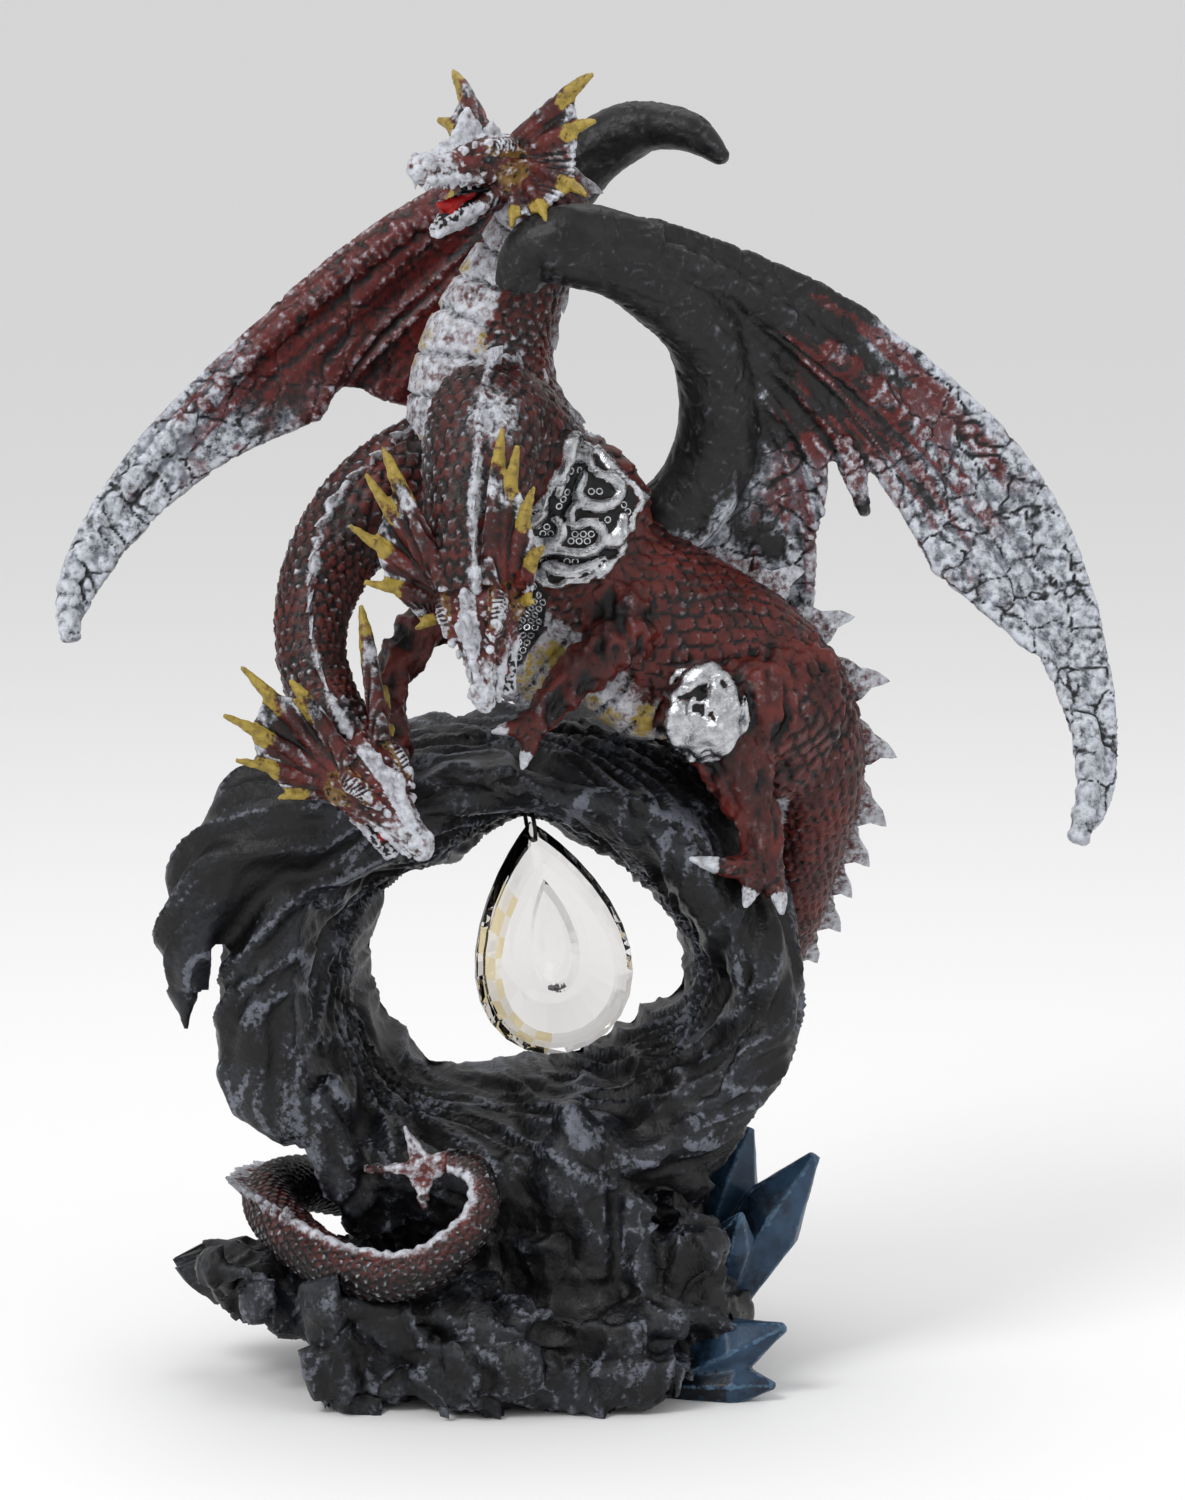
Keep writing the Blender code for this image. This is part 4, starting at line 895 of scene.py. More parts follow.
def make_tail(materials):
    """The tail, winding behind the ring and round the plinth to its barbed tip."""
    bm = bmesh.new()
    add_tube(bm, TAIL, sides=24, steps=8)
    for corners, thickness in TAIL_BARBS:
        add_web(bm, corners, thickness)
    skin = Skin(bm, CELL_TAIL, soften=4)
    p = skin.points.copy()
    x, y, z = p.T
    line = Line(TAIL, TAIL_BACKS)
    _, along, turn, radius = nearest(p, [line])
    end = line.run[-1]
    barb = clamp(ramp(along, end - 6, end - 3) + (x < -19) * (y < -20) * (z > 39) * (along > end - 12))
    scale, groove, tips = scales(along / 1.9, turn / (2 * math.pi) * 16)
    crest = bell(turn * radius) * (1 - barb)
    lumps = 0.5 + 0.5 * np.sin(along * 1.35 + np.sin(along * 0.7))
    speckle = noise_at(p, 2.0, 1.3)
    skin.raise_by(scale * 0.8 * (1 - crest) * (1 - barb) + crest * (1.0 + 0.8 * lumps) + 0.2 * speckle * barb)
    wear = skin.ridges_and_hollows(4)
    # deep: the black wash, with painted shade on the underside, below each scale's tip and in the hollows
    under = ramp(np.abs(turn), 0.7, 1.6)
    deep = 0.45 + 0.35 * under + 0.4 * groove + 0.3 * clamp(-wear) + 0.15 * speckle
    white = crest * (0.85 + 0.35 * speckle) + 0.2 * clamp(wear) + 0.2 * tips * (1 - crest)
    white += barb * (0.3 + 0.5 * wear)
    skin.values = {
        "deep": clamp(deep) * (1 - crest) * (1 - barb * 0.7),
        **dict.fromkeys(("black", "yellow", "silver", "gold", "scarlet"), np.zeros(len(p))),
        "white": clamp(white),
    }
    skin.finish("dragon_tail", materials["dragon"], "dragon_paint", "dragon")


def head_axes(head):
    """The matrix from a head's own axes, +X out of the snout and +Z out of the crest, to the statue."""
    forward = Vector(head["snout"]).normalized()
    left = Vector(head["crest"]).cross(forward).normalized()
    axes = Matrix((forward, left, forward.cross(left))).transposed().to_4x4()
    return Matrix.Translation(Vector(head["middle"])) @ axes


def make_head(materials, which):
    """A horned head with an open mouth, teeth, a tongue and a webbed frill."""
    head = HEADS[which]
    nose = head["nose"]
    bm = bmesh.new()

    def ball(x, y, z, *radii):
        """An ellipsoid."""
        matrix = Matrix.Translation((x, y, z)) @ Matrix.Diagonal((*radii, 1))
        bmesh.ops.create_icosphere(bm, subdivisions=3, radius=1, matrix=matrix)

    def blade(*points):
        """A thin solid between points and their mirror images."""
        add_hull(bm, [(x, y * side, z) for x, y, z in points for side in (1, -1)])

    # Skull, snout, cheeks and brows
    ball(-1, 0, 0, 8, 7.4, 6.2)
    add_tube(bm, ((-8, 0, -1, 7), (-3, 0, -0.5, 7)), sides=16, steps=2)
    snout = ((2, 0, 0.6, 6.2), (8, 0, 0.6, 4.6 * nose), (13, 0, 0.2, 3.5 * nose), (18, 0, -0.2, 2.6 * nose))
    add_tube(bm, snout, sides=16)
    ball(17.4, 0, 0.9, 3.2, 3.1 * nose, 2.3)
    ball(19.2, 0, -0.6, 1.8, 2.3 * nose, 1.8)
    for side in (1, -1):
        ball(17.6, 1.7 * side * nose, 2.2, 1.5, 1.1, 1.0)
        for stations in FACE:
            add_tube(bm, [(x, y * side, z, r) for x, y, z, r in stations], sides=10)
        for x, y, z, r in BROW_KNOBS:
            ball(x, y * side, z, r * 1.2, r * 0.8, r * 0.8)
        ball(4.6, 4.7 * side, 1.6, 1.9, 1.0, 1.2)
        ball(-1.5, 5.8 * side, -2.2, 4.4, 2.4, 3.8)
        for i in range(9):
            out = math.sqrt(i)
            turn = i * 2.4
            cell_x = -1.5 + 0.95 * out * math.cos(turn) * 1.2
            cell_z = -2 + 1.05 * out * math.sin(turn) * 1.1
            ball(cell_x, 7.7 * side, cell_z, 1.05, 0.75, 1.05)

    # Lower jaw, tongue and teeth
    add_tube(bm, ((-2, 0, -5.5, 3.6), (5, 0, -8.8, 2.4), (11, 0, -11.4, 1.9), (15, 0, -12.6, 1.5)), sides=14)
    add_tube(bm, ((0, 0, -4.4, 1.8), (6, 0, -6.2, 1.7), (11, 0, -7.6, 1.4), (13.5, 0, -7.2, 0.9)), sides=12)
    for x in np.arange(8, 18.1, 2.0):
        y = 3.9 - 0.16 * (x - 5)
        low = 0.62 * x - 0.2
        gum = -5.2 - 0.49 * low
        for side in (1, -1):
            add_tube(bm, ((x, y * side, -2.0, 0.75), (x + 0.3, y * side * 0.98, -4.3, 0.3)), sides=6, steps=2)
            root = (low, (2.9 - 0.1 * low) * side, gum, 0.7)
            tip = (low, (2.8 - 0.1 * low) * side, gum + 2.2, 0.28)
            add_tube(bm, (root, tip), sides=6, steps=2)

    # Ridge of the nose and two horns
    blade((17, 0.7, 2.4), (3, 1.3, 4.5), (12, 0.6, 5.6))
    blade((12, 0.9, 3.4), (0, 1.3, 4), (5.8, 0.55, 12.6), (8.6, 0.5, 8))
    blade((4, 0.9, 4), (-6, 1.2, 3.5), (-0.6, 0.5, 9.6))

    # The frill: spines that sweep up, and webs between them
    spines = []
    sweep = np.array((0, 0, 0.6))
    for side, tips in ((1, head["left"]), (-1, head["right"])):
        row = []
        for (x, y, z), end, r in zip(SPINE_ROOTS, tips, SPINE_RADII):
            root = np.array((x, y * side, z), float)
            tip = np.array(end, float)
            near = root * 0.6 + tip * 0.4 + sweep
            far = root * 0.25 + tip * 0.75 + sweep
            add_tube(bm, ((*root, r), (*near, r * 0.92), (*far, r * 0.72), (*tip, 0.55)), sides=10)
            row.append((root, tip))
        for (root, tip), (root2, tip2) in zip(row, row[1:]):
            for a, b in ((0.0, 0.34), (0.30, 0.6), (0.56, 0.74)):
                corners = (
                    root + (tip - root) * a, root2 + (tip2 - root2) * a,
                    root2 + (tip2 - root2) * b, root + (tip - root) * b,
                )
                add_web(bm, corners, 1.25)
        spines += row

    skin = Skin(bm, CELL_HEAD, soften=2)
    p = skin.points.copy()
    x, y, z = p.T
    aside = np.abs(y)
    best = np.full(len(p), np.inf)
    share = np.zeros(len(p))
    for root, tip in spines:
        t = clamp(np.sum((p - root) * (tip - root), axis=1) / np.sum((tip - root) ** 2))
        far = np.linalg.norm(p - root - t[:, None] * (tip - root), axis=1)
        closer = far < best
        best[closer] = far[closer]
        share[closer] = t[closer]
    skull = np.sqrt(((x + 1) / 9.2) ** 2 + (y / 8.6) ** 2 + ((z + 0.5) / 7.6) ** 2)
    horns = (aside < 2.4) & (z > 4) & (share < 0.2)
    frill = ramp(skull, 1.0, 1.15) * (x < 4.5) * (best < 9) * ~horns
    face = 1 - frill
    spine = frill * (1 - ramp(best, 1.7, 2.3))
    web = frill - spine
    grain = noise_at(p, 1.7, 2.0)
    wide = noise_at(p, 4.5, 12.0)
    grooves = np.sin(np.arctan2(z, -x + 2.0) * 38 + wide)
    bony = face * ramp(noise_at(p, 1.5, 21.0), -0.1, 0.5)
    skin.raise_by(bony * 0.32 - 0.42 * web * ramp(grooves, -0.2, 0.9) + 0.16 * spine * grain)

    # Paint
    wear = skin.ridges_and_hollows(4)
    cheek = (aside > 5.6) * np.exp(-(((x + 1) / 4.2) ** 2 + ((z + 2) / 3.6) ** 2)) * face
    eye_side = (aside > 4) * (z > 2) * (x > -5) * (x < 6)
    socket = np.exp(-(((x - 4.8) / 2.0) ** 2 + ((aside - 5.2) / 1.6) ** 2 + ((z - 1.6) / 1.1) ** 2))
    mouth = (x > 0.5) & (aside < 3.2) & (z < -2.3 - 0.06 * x) & (z > -6.1 - 0.42 * x)
    tongue = mouth & (aside < 2.0) & (z > -9.2) & (z < -4.2 - 0.18 * x) & (x < 15.2)
    crest = (aside < 1.9) & (z > 5.4 - 0.17 * x) & (share < 0.2)
    tipped = spine * ramp(share + 0.05 * wide, 0.5, 0.62)
    fringe = web * ramp(share, 0.5, 0.62)
    value = skin.values
    # deep: the black wash, darker on the webs, with painted shade in the hollows; black: the frill's dark
    # fringe, the open mouth and the eye sockets, and painted shade deep in the hollows
    value["deep"] = clamp(0.16 + 0.3 * web + 0.6 * clamp(-wear) + 0.16 * wide)
    value["gold"] = clamp(cheek * 1.1 + 0.6 * eye_side * face)
    black = clamp(fringe * (0.7 + 0.4 * wide) + mouth + ramp(-wear, 0.4, 0.9) * (1 - 0.5 * frill))
    value["black"] = np.maximum(black, ramp(socket, 0.35, 0.6))
    white = ramp(x, 8.5, 13) * (0.6 + 0.35 * wear) + crest * 0.75 + fringe * (0.5 - 0.5 * wide)
    white += 0.42 * clamp(wear)
    white += 0.5 * (z < -7) * (x > 1) * face + 0.25 * (aside > 2.6) * (x > 6) * (z < -1)
    white += 0.5 * ramp(wear, 0.25, 0.7) * (z > 2.5) * (x > 0) * (x < 11) + 0.12 * wide
    white = np.where(mouth & (wear < 0.4), 0, clamp(white))
    value["white"] = np.maximum(white * (1 - tipped), tipped * ramp(share, 0.86, 1.0) * 0.5)
    value["yellow"] = clamp(tipped * (0.9 - 0.2 * wide))
    value["scarlet"] = tongue * 1.0
    value["silver"] = np.zeros(len(p))
    axes = np.array(head_axes(head))
    skin.points = skin.points @ axes[:3, :3].T + axes[:3, 3]
    skin.finish(f"dragon_head_{which}", materials["dragon"], "dragon_paint", "dragon")


def membrane(wrist, ribs, scallops, across, along):
    """Points of a wing's skin, one row to a ray from the wrist to the wing's edge."""
    rays = [smooth_line((wrist, *rib), 8) for rib in ribs]
    spread = []
    for ray in rays:
        run = np.concatenate([[0], np.cumsum(np.linalg.norm(np.diff(ray, axis=0), axis=1))])
        spread.append((ray, run / run[-1]))
    rows = []
    for k, scallop in enumerate(scallops):
        for s in np.linspace(0, 1, across, endpoint=(k == len(scallops) - 1)):
            share = np.linspace(0.02, 1, along) * (1 - scallop * math.sin(math.pi * s))
            near, far = (
                np.stack([np.interp(share, run, ray[:, c]) for c in range(3)], axis=1)
                for ray, run in spread[k : k + 2]
            )
            rows.append(near * (1 - s) + far * s)
    return np.array(rows)


def add_shell(bm, rows, thickness):
    """A closed sheet of one thickness on a grid of points."""
    face = unit(np.cross(np.gradient(rows, axis=0), np.gradient(rows, axis=1))) * thickness / 2
    sides = []
    for sheet in (rows + face, rows - face):
        sides.append([[bm.verts.new(p) for p in row] for row in sheet])
    for side in sides:
        for row, after in zip(side, side[1:]):
            for j in range(len(row) - 1):
                bm.faces.new((row[j], row[j + 1], after[j + 1], after[j]))
    last, end = len(rows) - 1, len(rows[0]) - 1
    rim = [(0, j) for j in range(end)] + [(i, end) for i in range(last)]
    rim += [(last, j) for j in range(end, 0, -1)] + [(i, 0) for i in range(last, 0, -1)]
    for (i, j), (k, m) in zip(rim, rim[1:] + rim[:1]):
        bm.faces.new((sides[0][i][j], sides[0][k][m], sides[1][k][m], sides[1][i][j]))


def make_wing(
    materials, name, wrist, ribs, scallops, bones, tips,
    fold, red_from, pale_from, pale_edge, dark_arm, inner_red,
):
    """A wing of cracked skin over jointed finger bones."""
    bm = bmesh.new()
    rows = membrane(wrist, ribs, scallops, 9, 30)
    add_shell(bm, rows, WING_SKIN)
    bone_lines = []
    for k, thick, thin in bones:
        rib = smooth_line((wrist, *ribs[k]), 2)
        stations = np.column_stack([rib, np.linspace(thick, thin, len(rib))])
        add_tube(bm, stations, steps=3)
        bone_lines.append(Line(stations, steps=6))
    for tip in tips:
        add_tube(bm, tip)
    skin = Skin(bm, CELL_WING, soften=4)
    p = skin.points.copy()
    zero = np.zeros(len(p))
    rays, places = rows.shape[:2]
    tree = KDTree(rays * places)
    for i, point in enumerate(rows.reshape(-1, 3)):
        tree.insert(point, i)
    tree.balance()
    index = np.array([tree.find(point)[1] for point in p])
    reach = (index % places) / (places - 1)
    fan = (index // places) / (rays - 1)
    for _ in range(6):
        reach = skin.mean(reach)
        fan = skin.mean(fan)

    def distance(line):
        """How far each point is from a bone's middle."""
        return np.min(np.linalg.norm(p[:, None, :] - line.points[None, ::3], axis=2), axis=1)

    arm = bell(np.maximum(distance(bone_lines[0]) - 8.5, 0) / 4)
    finger = bone_lines[-1]
    _, run, _, radius = nearest(p, [finger])
    on_finger = 1 - ramp(distance(finger), radius - 0.4, radius + 0.7)
    skin_only = 1 - on_finger
    folds = 1 - 2.2 * np.abs(noise_at(np.column_stack([fan * 46, reach * 7, zero]), 6, 4.0, 1))
    shaken = p + 1.2 * np.column_stack([noise_at(p, 5, 31.0), noise_at(p, 5, 33.0), zero])
    cells = cells_at(shaken, 7.5, 3.0)
    crack = 1 - ramp(cells, 0.0, 0.08)
    lip = bell((cells - 0.15) / 0.05)
    speckle = noise_at(p, 2.2, 6.0)
    wide = noise_at(p, 10, 8.0)
    streak = noise_at(np.column_stack([fan * 170, reach * 30, zero]), 6, 14.0)
    joint = (run / 6.4) % 1
    notch = bell((joint - 0.5) / 0.1) * on_finger
    out = np.linalg.norm(p - wrist, axis=1) + 16 * wide + 12 * streak
    pale = out + pale_edge * np.maximum(ramp(fan, 0.84, 0.94), 1 - ramp(fan, 0.3, 0.6))
    outer = ramp(pale, pale_from, pale_from + 26)
    relief = -0.4 * crack * skin_only * (1 - 0.6 * arm)
    relief += fold * folds * (1 - 0.75 * outer) * skin_only * (1 - arm)
    relief = relief - 0.35 * notch + on_finger * (0.6 + 0.4 * joint) + 0.1 * speckle + 0.2 * wide
    skin.raise_by(relief + 0.25 * streak * skin_only)

    # Paint
    wear = skin.ridges_and_hollows(4)
    high = clamp(wear)
    redness = ramp(out, red_from, red_from + 16) * (1 - arm * dark_arm)
    redness *= 1 - ramp(out, pale_from + 30, pale_from + 60)
    redness *= np.maximum(ramp(streak + 0.4 * wide, -0.12, 0.16), (1 - outer) * inner_red)
    finger_red = on_finger * ramp(out, red_from, red_from + 12)
    finger_red *= 1 - ramp(out, pale_from + 28, pale_from + 50)
    grey = outer * (0.75 + 0.4 * wide) * (1 - 0.7 * finger_red) + 0.08 * high + 0.24 * lip * (1 - outer)
    white = outer * (0.56 + 0.3 * wear + 0.3 * speckle) * (1 - 0.7 * finger_red) * (1 - 0.7 * redness)
    skin.values = {
        "red": clamp(redness * (0.66 + 0.4 * streak + 0.2 * wear) + finger_red * 0.8),
        "grey": clamp(grey),
        "white": clamp(white + 0.35 * high * redness),
        # crack: dark cracks and notches at the finger joints, with painted shade in the hollows of the folds
        "crack": clamp(crack * skin_only * (0.3 + 0.35 * outer) + 0.4 * clamp(-wear) + notch * 0.5),
    }
    skin.finish(name + "_painted", materials["wing"], "wing_paint", name)


def make_rock(materials):
    """The ring and the plinth, with folds that flow round the ring and down the plinth."""
    bm = bmesh.new()
    table = np.array([*RING, (360, *RING[0][1:])], float)
    middle = (RING_FRONT + RING_BACK) / 2
    loops = []
    for angle in np.arange(0, 360, 4):
        inner_front, outer_front, outer_back, inner_back = (
            np.interp(angle, table[:, 0], table[:, k]) for k in range(1, 5)
        )
        section = (
            (inner_front, RING_FRONT + 2), ((inner_front + outer_front) / 2, RING_FRONT - 1),
            (outer_front, RING_FRONT + 4), ((outer_front + outer_back) / 2 + 1.5, middle),
            (outer_back, RING_BACK - 5), ((outer_back + inner_back) / 2, RING_BACK),
            (inner_back, RING_BACK - 3), ((inner_front + inner_back) / 2 - 1, middle),
        )
        turn = math.radians(angle)
        loops.append([
            bm.verts.new((RING_AXIS[0] + r * math.cos(turn), y, RING_AXIS[1] + r * math.sin(turn)))
            for r, y in section
        ])
    join_loops(bm, loops + loops[:1])
    add_tube(bm, HORN_OF_ROCK)
    for spire in SPIRES:
        add_tube(bm, spire)
    for (x, y, z, *size), seed in BLOCKS:
        scatter = np.random.default_rng(seed).uniform(-0.5, 0.5, (26, 3))
        on_box = scatter / np.abs(scatter).max(axis=1, keepdims=True) * 0.5
        add_hull(bm, np.array((x, y, z)) + on_box * np.array(size))
    skin = Skin(bm, CELL_ROCK, soften=5)
    p = skin.points.copy()
    x, y, z = p.T
    zero = np.zeros(len(p))
    angle = np.arctan2(z - RING_AXIS[1], x - RING_AXIS[0])
    radius = np.hypot(x - RING_AXIS[0], z - RING_AXIS[1])
    ring = ramp(z, 38, 52)
    plinth = 1 - ring
    swirl = np.arctan2(radius - 45, y - middle) * 22 + angle * 26
    flow = np.column_stack([angle * 50 / 30, swirl / 8.5, zero])
    flow = flow + 0.35 * np.column_stack([noise_at(p, 15, 71.0, 1), noise_at(p, 15, 73.0, 1), zero])
    fold = creases(flow)
    fine = creases(flow * (2.1, 2.6, 1) + 5.0)
    drip = creases(np.column_stack([x / 7, y / 7, z / 30]) + 0.2 * noise_at(p, 12, 75.0, 1)[:, None])
    crag = creases(p / (10, 10, 20) + 3.0, 2.6)
    broken = facets(p * (1, 1, 1.2), 13, 80.0) + 0.35 * facets(p * (1, 1, 0.7), 6, 90.0)
    relief = ring * (2.6 * fold + 0.8 * fine - 1.9)
    relief += plinth * (1.2 * drip + 0.9 * crag - 1.9 + 1.4 * broken)
    relief += 0.8 * noise_at(p, 17, 40.0) + 0.15 * noise_at(p, 2.6, 50.0)
    tail = Line(TAIL, TAIL_BACKS)
    clear = np.min(np.linalg.norm(p[:, None, :] - tail.points[None, ::4], axis=2), axis=1)
    skin.raise_by(relief * ramp(clear, 3, 9))
    skin.points[:, 2] = np.maximum(skin.points[:, 2], 0.0)
    wear = skin.ridges_and_hollows(6)
    broad = noise_at(p, 14, 60.0)
    lines = ring * np.maximum(ramp(fold, 0.8, 1.0), 0.75 * ramp(fine, 0.82, 1.0))
    lines += plinth * np.maximum(0.9 * ramp(drip, 0.84, 1.0), 0.8 * ramp(crag, 0.84, 1.0))
    skin.values = {
        "ridge": clamp((0.72 * lines + 0.3 * ramp(wear, 0.4, 1.0)) * (0.75 + 1.1 * broad)),
        "haze": clamp(0.35 + 0.6 * broad + 0.5 * wear),
    }
    skin.finish("rock_ring_and_plinth", materials["rock"], "rock", "rock_ring_plinth")


def crystal_cluster(materials, name, group, seed):
    """Six-sided crystals with slanted tips, flat facets and softened edges."""
    bm = bmesh.new()
    for foot, point, radius in group:
        foot, point = np.array(foot, float), np.array(point, float)
        way = unit(point - foot)
        across = unit(np.cross(way, (0, 1, 0)))
        other = np.cross(way, across)
        corners = []
        for share, size in ((0, 0.85), (0.62, 1), (1, 0.16)):
            for i in range(6):
                turn = i * math.pi / 3 + 0.35
                lean = 0.06 * math.cos(turn) if share else 0
                spot = foot + (point - foot) * (share + lean * (share < 1))
                corners.append(spot + radius * size * (math.cos(turn) * across + math.sin(turn) * other))
        add_hull(bm, corners)
    skin = Skin(bm, CELL_CRYSTAL, soften=1)
    p = skin.points.copy()
    skin.raise_by(0.12 * noise_at(p, 5, seed))
    skin.points[:, 2] = np.maximum(skin.points[:, 2], 0.0)
    wear = skin.ridges_and_hollows(4)
    z = p[:, 2]
    height = (z - z.min()) / (z.max() - z.min())
    turned_away = skin.normals()[:, 0] < -0.25
    skin.values = {
        "shade": clamp(0.6 - 0.8 * height + 0.3 * noise_at(p, 7, seed + 3) + 0.4 * turned_away),
        "rim": clamp(ramp(wear, 0.2, 1) * 0.6),
    }
    skin.finish(name + "_painted", materials["crystal"], "crystal_paint", name)


def strewn_tree(name):
    """A node group that sets a shape on every point, turned and sized by the points' own attributes."""
    tree = bpy.data.node_groups.new(name, "GeometryNodeTree")
    for label, kind in (("Points", "Geometry"), ("Shape", "Object"), ("Finish", "Material")):
        tree.interface.new_socket(label, in_out="INPUT", socket_type="NodeSocket" + kind)
    tree.interface.new_socket("Pieces", in_out="OUTPUT", socket_type="NodeSocketGeometry")
    given = add(tree, "NodeGroupInput").outputs
    shape = add(tree, "GeometryNodeObjectInfo", {"Object": given["Shape"]})
    turn = add(tree, "GeometryNodeInputNamedAttribute", {"Name": "turn"}, data_type="FLOAT_VECTOR")
    size = add(tree, "GeometryNodeInputNamedAttribute", {"Name": "size"}, data_type="FLOAT_VECTOR")
    spin = add(tree, "FunctionNodeEulerToRotation", {0: turn.outputs["Attribute"]})
    set_out = add(
        tree, "GeometryNodeInstanceOnPoints",
        {"Points": given["Points"], "Instance": shape.outputs["Geometry"], "Rotation": spin.outputs[0],
         "Scale": size.outputs["Attribute"]},
    )
    real = add(tree, "GeometryNodeRealizeInstances", {"Geometry": set_out.outputs["Instances"]})
    finished = add(
        tree, "GeometryNodeSetMaterial", {"Geometry": real.outputs["Geometry"], "Material": given["Finish"]}
    )
    add(tree, "NodeGroupOutput", {"Pieces": finished.outputs["Geometry"]})
    return tree


def strew(name, tree, shape, spots, material, slot, *nodes):
    """Sets a shape at each spot, given as place in mm, the way out, the way along and a size."""
    mesh = bpy.data.meshes.new(name)
    mesh.from_pydata([tuple(np.array(spot[0]) * MM) for spot in spots], [], [])
    turns = mesh.attributes.new("turn", "FLOAT_VECTOR", "POINT")
    sizes = mesh.attributes.new("size", "FLOAT_VECTOR", "POINT")
    for i, (_, out, ahead, size) in enumerate(spots):
        z = Vector(out).normalized()
        y = z.cross(Vector(ahead)).normalized()
        turns.data[i].vector = Matrix((y.cross(z), y, z)).transposed().to_euler()
        sizes.data[i].vector = size
    thing = into_scene(name + "_points", mesh)
    made = thing.modifiers.new("strewn", "NODES")
    made.node_group = tree
    socket = {item.name: item.identifier for item in tree.interface.items_tree if item.in_out == "INPUT"}
    made[socket["Shape"]] = shape
    made[socket["Finish"]] = material
    bpy.context.view_layer.update()
    result = evaluated_mesh(thing)
    thing.modifiers.clear()
    bpy.data.objects.remove(thing)
    return place(name, result, material, slot, *nodes)


def guide(name, bm, **paint):
    """A shape that is only copied from, kept out of the scene, with its paint as values at its points."""
    mesh = bpy.data.meshes.new(name)
    bmesh.ops.recalc_face_normals(bm, faces=bm.faces)
    bm.to_mesh(mesh)
    bm.free()
    heights = np.array([v.co.z for v in mesh.vertices]) / MM
    for key, value in paint.items():
        level = mesh.attributes.new(key, "FLOAT", "POINT")
        level.data.foreach_set("value", (np.zeros(len(heights)) + value(heights)).astype(np.float32))
    return bpy.data.objects.new(name, mesh)


def mail_rings(materials, tree, surface):
    """Small raised rings of mail on the breast plate and the strip below it."""
    bm = bmesh.new()
    major, minor = MAIL_RING
    loops = []
    for i in range(10):
        a = 2 * math.pi * i / 10
        loop = []
        for b in np.linspace(0, 2 * math.pi, 6, endpoint=False):
            out = major + minor * math.cos(b)
            loop.append(bm.verts.new((out * math.cos(a), out * math.sin(a), minor * math.sin(b))))
        loops.append(loop)
    join_loops(bm, loops + loops[:1])
    bmesh.ops.scale(bm, vec=(MM, MM, MM), verts=bm.verts)
    ring = guide("mail_ring", bm, silver=lambda z: 0.95)
    spots = []
    for row, z in enumerate(np.arange(146, 202, MAIL_PITCH * 0.87)):
        for x in np.arange(-14, 22, MAIL_PITCH) + MAIL_PITCH / 2 * (row % 2):
            at_x = np.array([x])
            at_z = np.array([z])
            in_breast = inside_outline(at_x, at_z, BREAST_PLATE)[0]
            in_mail = inside_outline(at_x, at_z, MAIL_STRIP)[0]
            if in_breast > 0:
                clear = min(off_curve(at_x, at_z, curve)[0][0] for curve in BREAST_SCROLLS)
                if in_breast < 1.6 or clear < 1.7:
                    continue
            elif in_mail < 0.8:
                continue
            hit, out, _, _ = surface.ray_cast((x, -80, z), (0, 1, 0))
            if hit is None or hit.y > -3 or hit.y < -36:
                continue
            spots.append((tuple(hit), tuple(out), (1, 0, 0), (1.0, 1.0, 1.0)))
    strew("mail_rings", tree, ring, spots, materials["dragon"], "dragon_paint", "dragon")


def crest_plates(materials, tree):
    """The row of pale bony plates down the backs."""
    bm = bmesh.new()
    for thick in (0.34, -0.34):
        for a, z in CREST_PLATE:
            bm.verts.new((a, thick * (1 - 0.8 * max(z, 0)), z))
    bm.verts.ensure_lookup_table()
    n = len(CREST_PLATE)
    bm.faces.new([bm.verts[i] for i in range(n)])
    bm.faces.new([bm.verts[n + i] for i in range(n)][::-1])
    for i in range(n):
        j = (i + 1) % n
        bm.faces.new((bm.verts[i], bm.verts[j], bm.verts[n + j], bm.verts[n + i]))
    bmesh.ops.triangulate(bm, faces=[f for f in bm.faces if len(f.verts) > 4])
    bmesh.ops.subdivide_edges(bm, edges=bm.edges[:], cuts=2, use_grid_fill=True, smooth=0.25)
    bmesh.ops.scale(bm, vec=(MM, MM, MM), verts=bm.verts)
    shape = guide(
        "crest_plate", bm,
        white=lambda z: 0.38 + 0.45 * ramp(z, 0.1, 0.9),
        black=lambda z: 0.75 - ramp(z, -0.1, 0.6),
        deep=lambda z: 0.4,
    )
    spots = []
    random = np.random.default_rng(4)
    for stations, backs, pitch, height, first, last, forward in CREST_ROWS:
        line = Line(stations, backs, 16)
        reached = first * line.run[-1]
        while reached < last * line.run[-1]:
            i = int(np.searchsorted(line.run, reached))
            size = height * (0.45 + 0.55 * line.radii[i] / line.radii.max()) * random.uniform(0.85, 1.15)
            spots.append((
                line.points[i] + line.back[i] * (line.radii[i] + 0.2), line.back[i], line.way[i] * forward,
                (pitch * 0.95, size * 0.9, size),
            ))
            reached += pitch * random.uniform(0.9, 1.1)
    spots.append((Vector((-12.6, -33, 212)), Vector((-0.05, -0.3, 1)), Vector((0.8, -0.6, 0)), (9, 8, 9)))
    strew("crest_plates", tree, shape, spots, materials["dragon"], "dragon_paint", "dragon")


def drop_outline(turn):
    """The teardrop's outline at an angle from its bottom: sideways and up, as shares of width and height."""
    return math.sin(turn) * abs(math.cos(turn / 2)) ** 0.8 * 0.62, -0.5 * math.cos(turn)


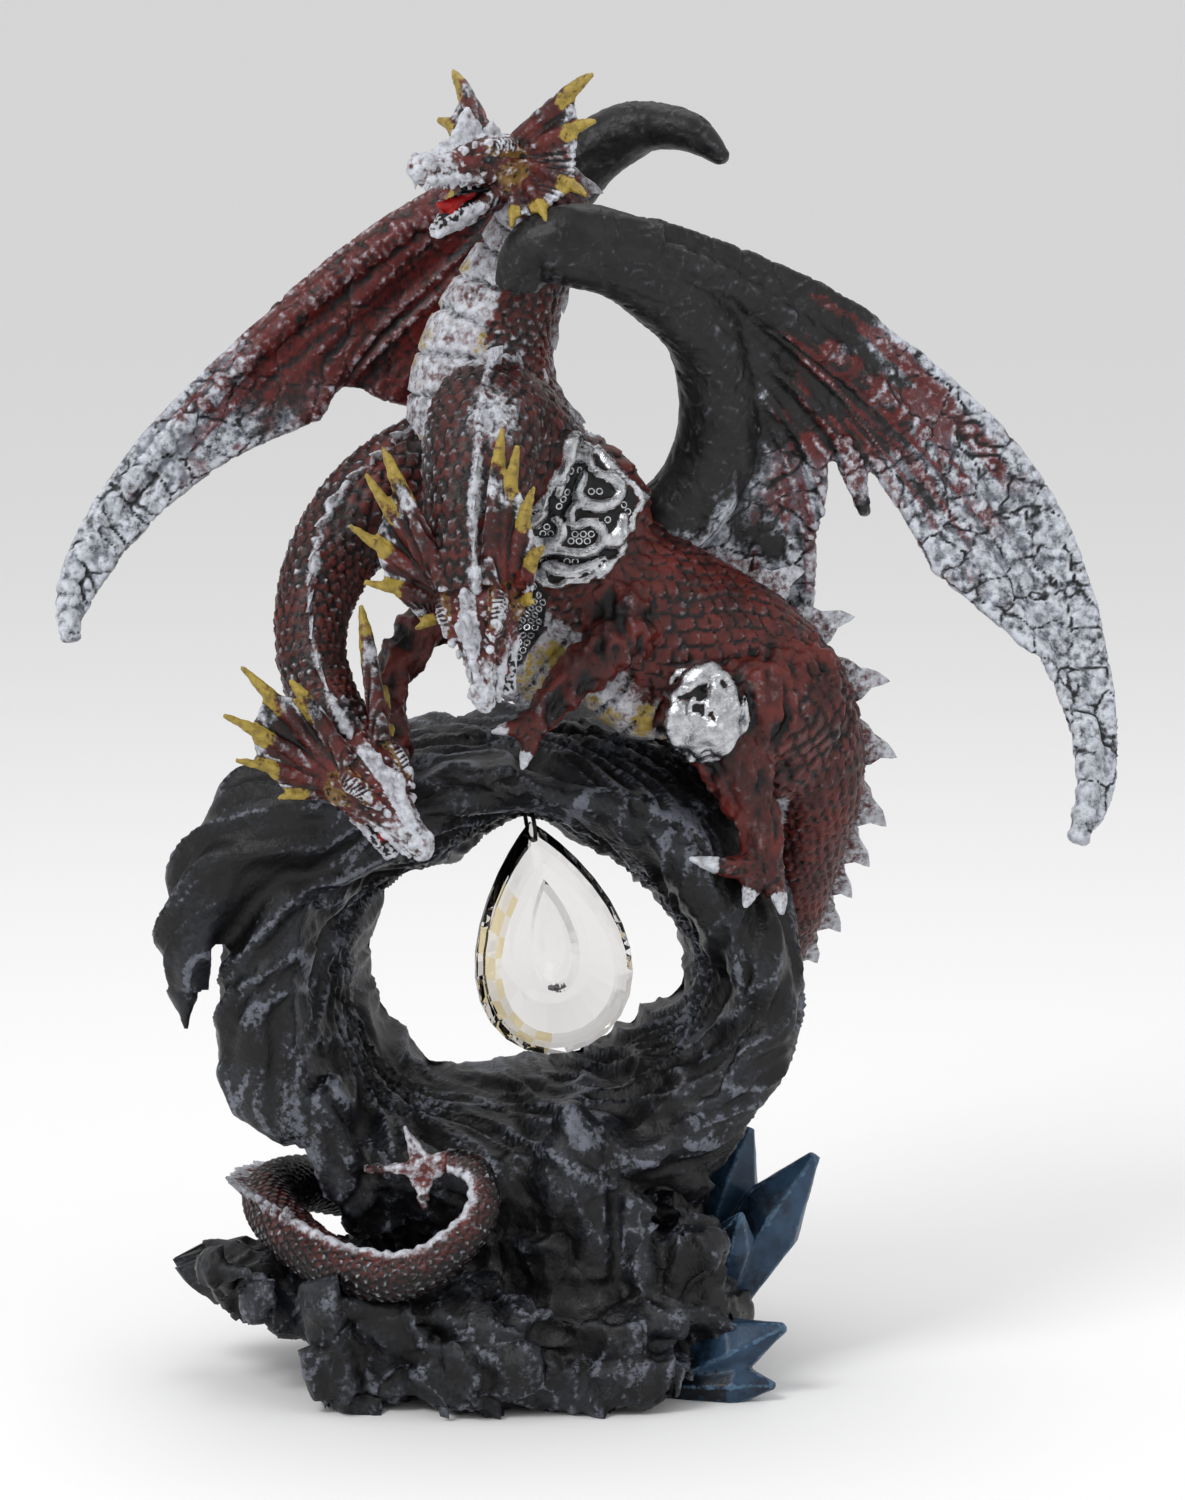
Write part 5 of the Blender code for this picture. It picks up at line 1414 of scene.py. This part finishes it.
def make_drop(materials):
    """A pear-shaped cut glass drop: a faceted border round a flat table, and a tear cut in its front."""
    wide, deep, high = DROP_SIZE
    bm = bmesh.new()
    rings = []
    for share_wide, share_high, out, centre in DROP_RINGS:
        ring = []
        for i in range(DROP_SIDES):
            side, up = drop_outline(2 * math.pi * i / DROP_SIDES)
            spot = (side * share_wide * wide, out * deep, (centre + up * share_high - 1) * high)
            ring.append(bm.verts.new(spot))
        rings.append(ring)
    middle = bm.verts.new((0, DROP_RINGS[0][2] * deep, (DROP_RINGS[0][3] - 1) * high))
    gleam = bm.faces.layers.float.new("gleam")
    for i in range(DROP_SIDES):
        bm.faces.new((middle, rings[0][i], rings[0][(i + 1) % DROP_SIDES]))
    for k, (ring, after) in enumerate(zip(rings, rings[1:])):
        for i in range(DROP_SIDES):
            j = (i + 1) % DROP_SIDES
            face = bm.faces.new((ring[i], ring[j], after[j], after[i]))
            # Painted gleam: some facets of the border get a straw tint in their colour
            if 3 <= k <= 5 and DROP_SIDES * 0.62 < i < DROP_SIDES * 0.93:
                face[gleam] = 0.8 if (i + k) % 2 else 0.3
    bm.faces.new(rings[-1])
    hang = Euler((0, math.radians(DROP_LEAN), math.radians(DROP_TURN)), "XYZ").to_matrix().to_4x4()
    hang = Matrix.Translation(Vector(DROP_PLACE) * MM) @ hang @ Matrix.Scale(MM, 4)
    bmesh.ops.transform(bm, matrix=hang, verts=bm.verts)
    bmesh.ops.recalc_face_normals(bm, faces=bm.faces)
    mesh = bpy.data.meshes.new("cut_glass_drop")
    bm.to_mesh(mesh)
    bm.free()
    place("cut_glass_drop", mesh, materials["glass"], "clear_glass", "glass_drop")
    wire = bpy.data.objects["drop_hook"]
    wire.data.materials.clear()
    wire.data.materials.append(materials["wire"])


def stage_and_camera(materials):
    """A pale paper floor, soft studio lamps, and the camera at the photograph's angle."""
    bm = bmesh.new()
    bmesh.ops.create_grid(bm, x_segments=1, y_segments=1, size=40)
    floor = guide("studio_floor", bm)
    floor.data.materials.append(materials["paper"])
    bpy.context.scene.collection.objects.link(floor)
    world = bpy.data.worlds.new("studio")
    bpy.context.scene.world = world
    world.use_nodes = True
    background = world.node_tree.nodes["Background"]
    background.inputs["Color"].default_value = (1, 1, 1, 1)
    background.inputs["Strength"].default_value = 0.72
    bpy.context.scene.view_settings.view_transform = "Standard"
    for name, spot, size, power in LAMPS:
        light = bpy.data.lights.new(name, "AREA")
        light.size = size
        light.energy = power
        lamp = into_scene(name, light)
        lamp.location = spot
        lamp.rotation_euler = (TARGET - Vector(spot)).to_track_quat("-Z", "Y").to_euler()
    tilt = math.radians(ELEVATION)
    camera = bpy.data.cameras.new("camera")
    camera.sensor_fit = "VERTICAL"
    camera.sensor_height = 24
    camera.lens = camera.sensor_height * DISTANCE / PICTURE_HEIGHT
    eye = into_scene("camera", camera)
    eye.location = TARGET + Vector((0, -math.cos(tilt), math.sin(tilt))) * DISTANCE
    eye.rotation_euler = (math.pi / 2 - tilt, 0, 0)
    bpy.context.scene.camera = eye


def main():
    """Makes the materials, the stage and every piece."""
    materials = make_materials()
    stage_and_camera(materials)
    surface = make_torso(materials)
    make_tail(materials)
    for which in HEADS:
        make_head(materials, which)
    for name, wing in WINGS.items():
        make_wing(materials, name, **wing)
    make_rock(materials)
    crystal_cluster(materials, "blue_crystals_high", CRYSTALS_HIGH, 2.0)
    crystal_cluster(materials, "blue_crystals_low", CRYSTALS_LOW, 9.0)
    tree = strewn_tree("strewn_on_points")
    mail_rings(materials, tree, surface)
    crest_plates(materials, tree)
    make_drop(materials)


main()
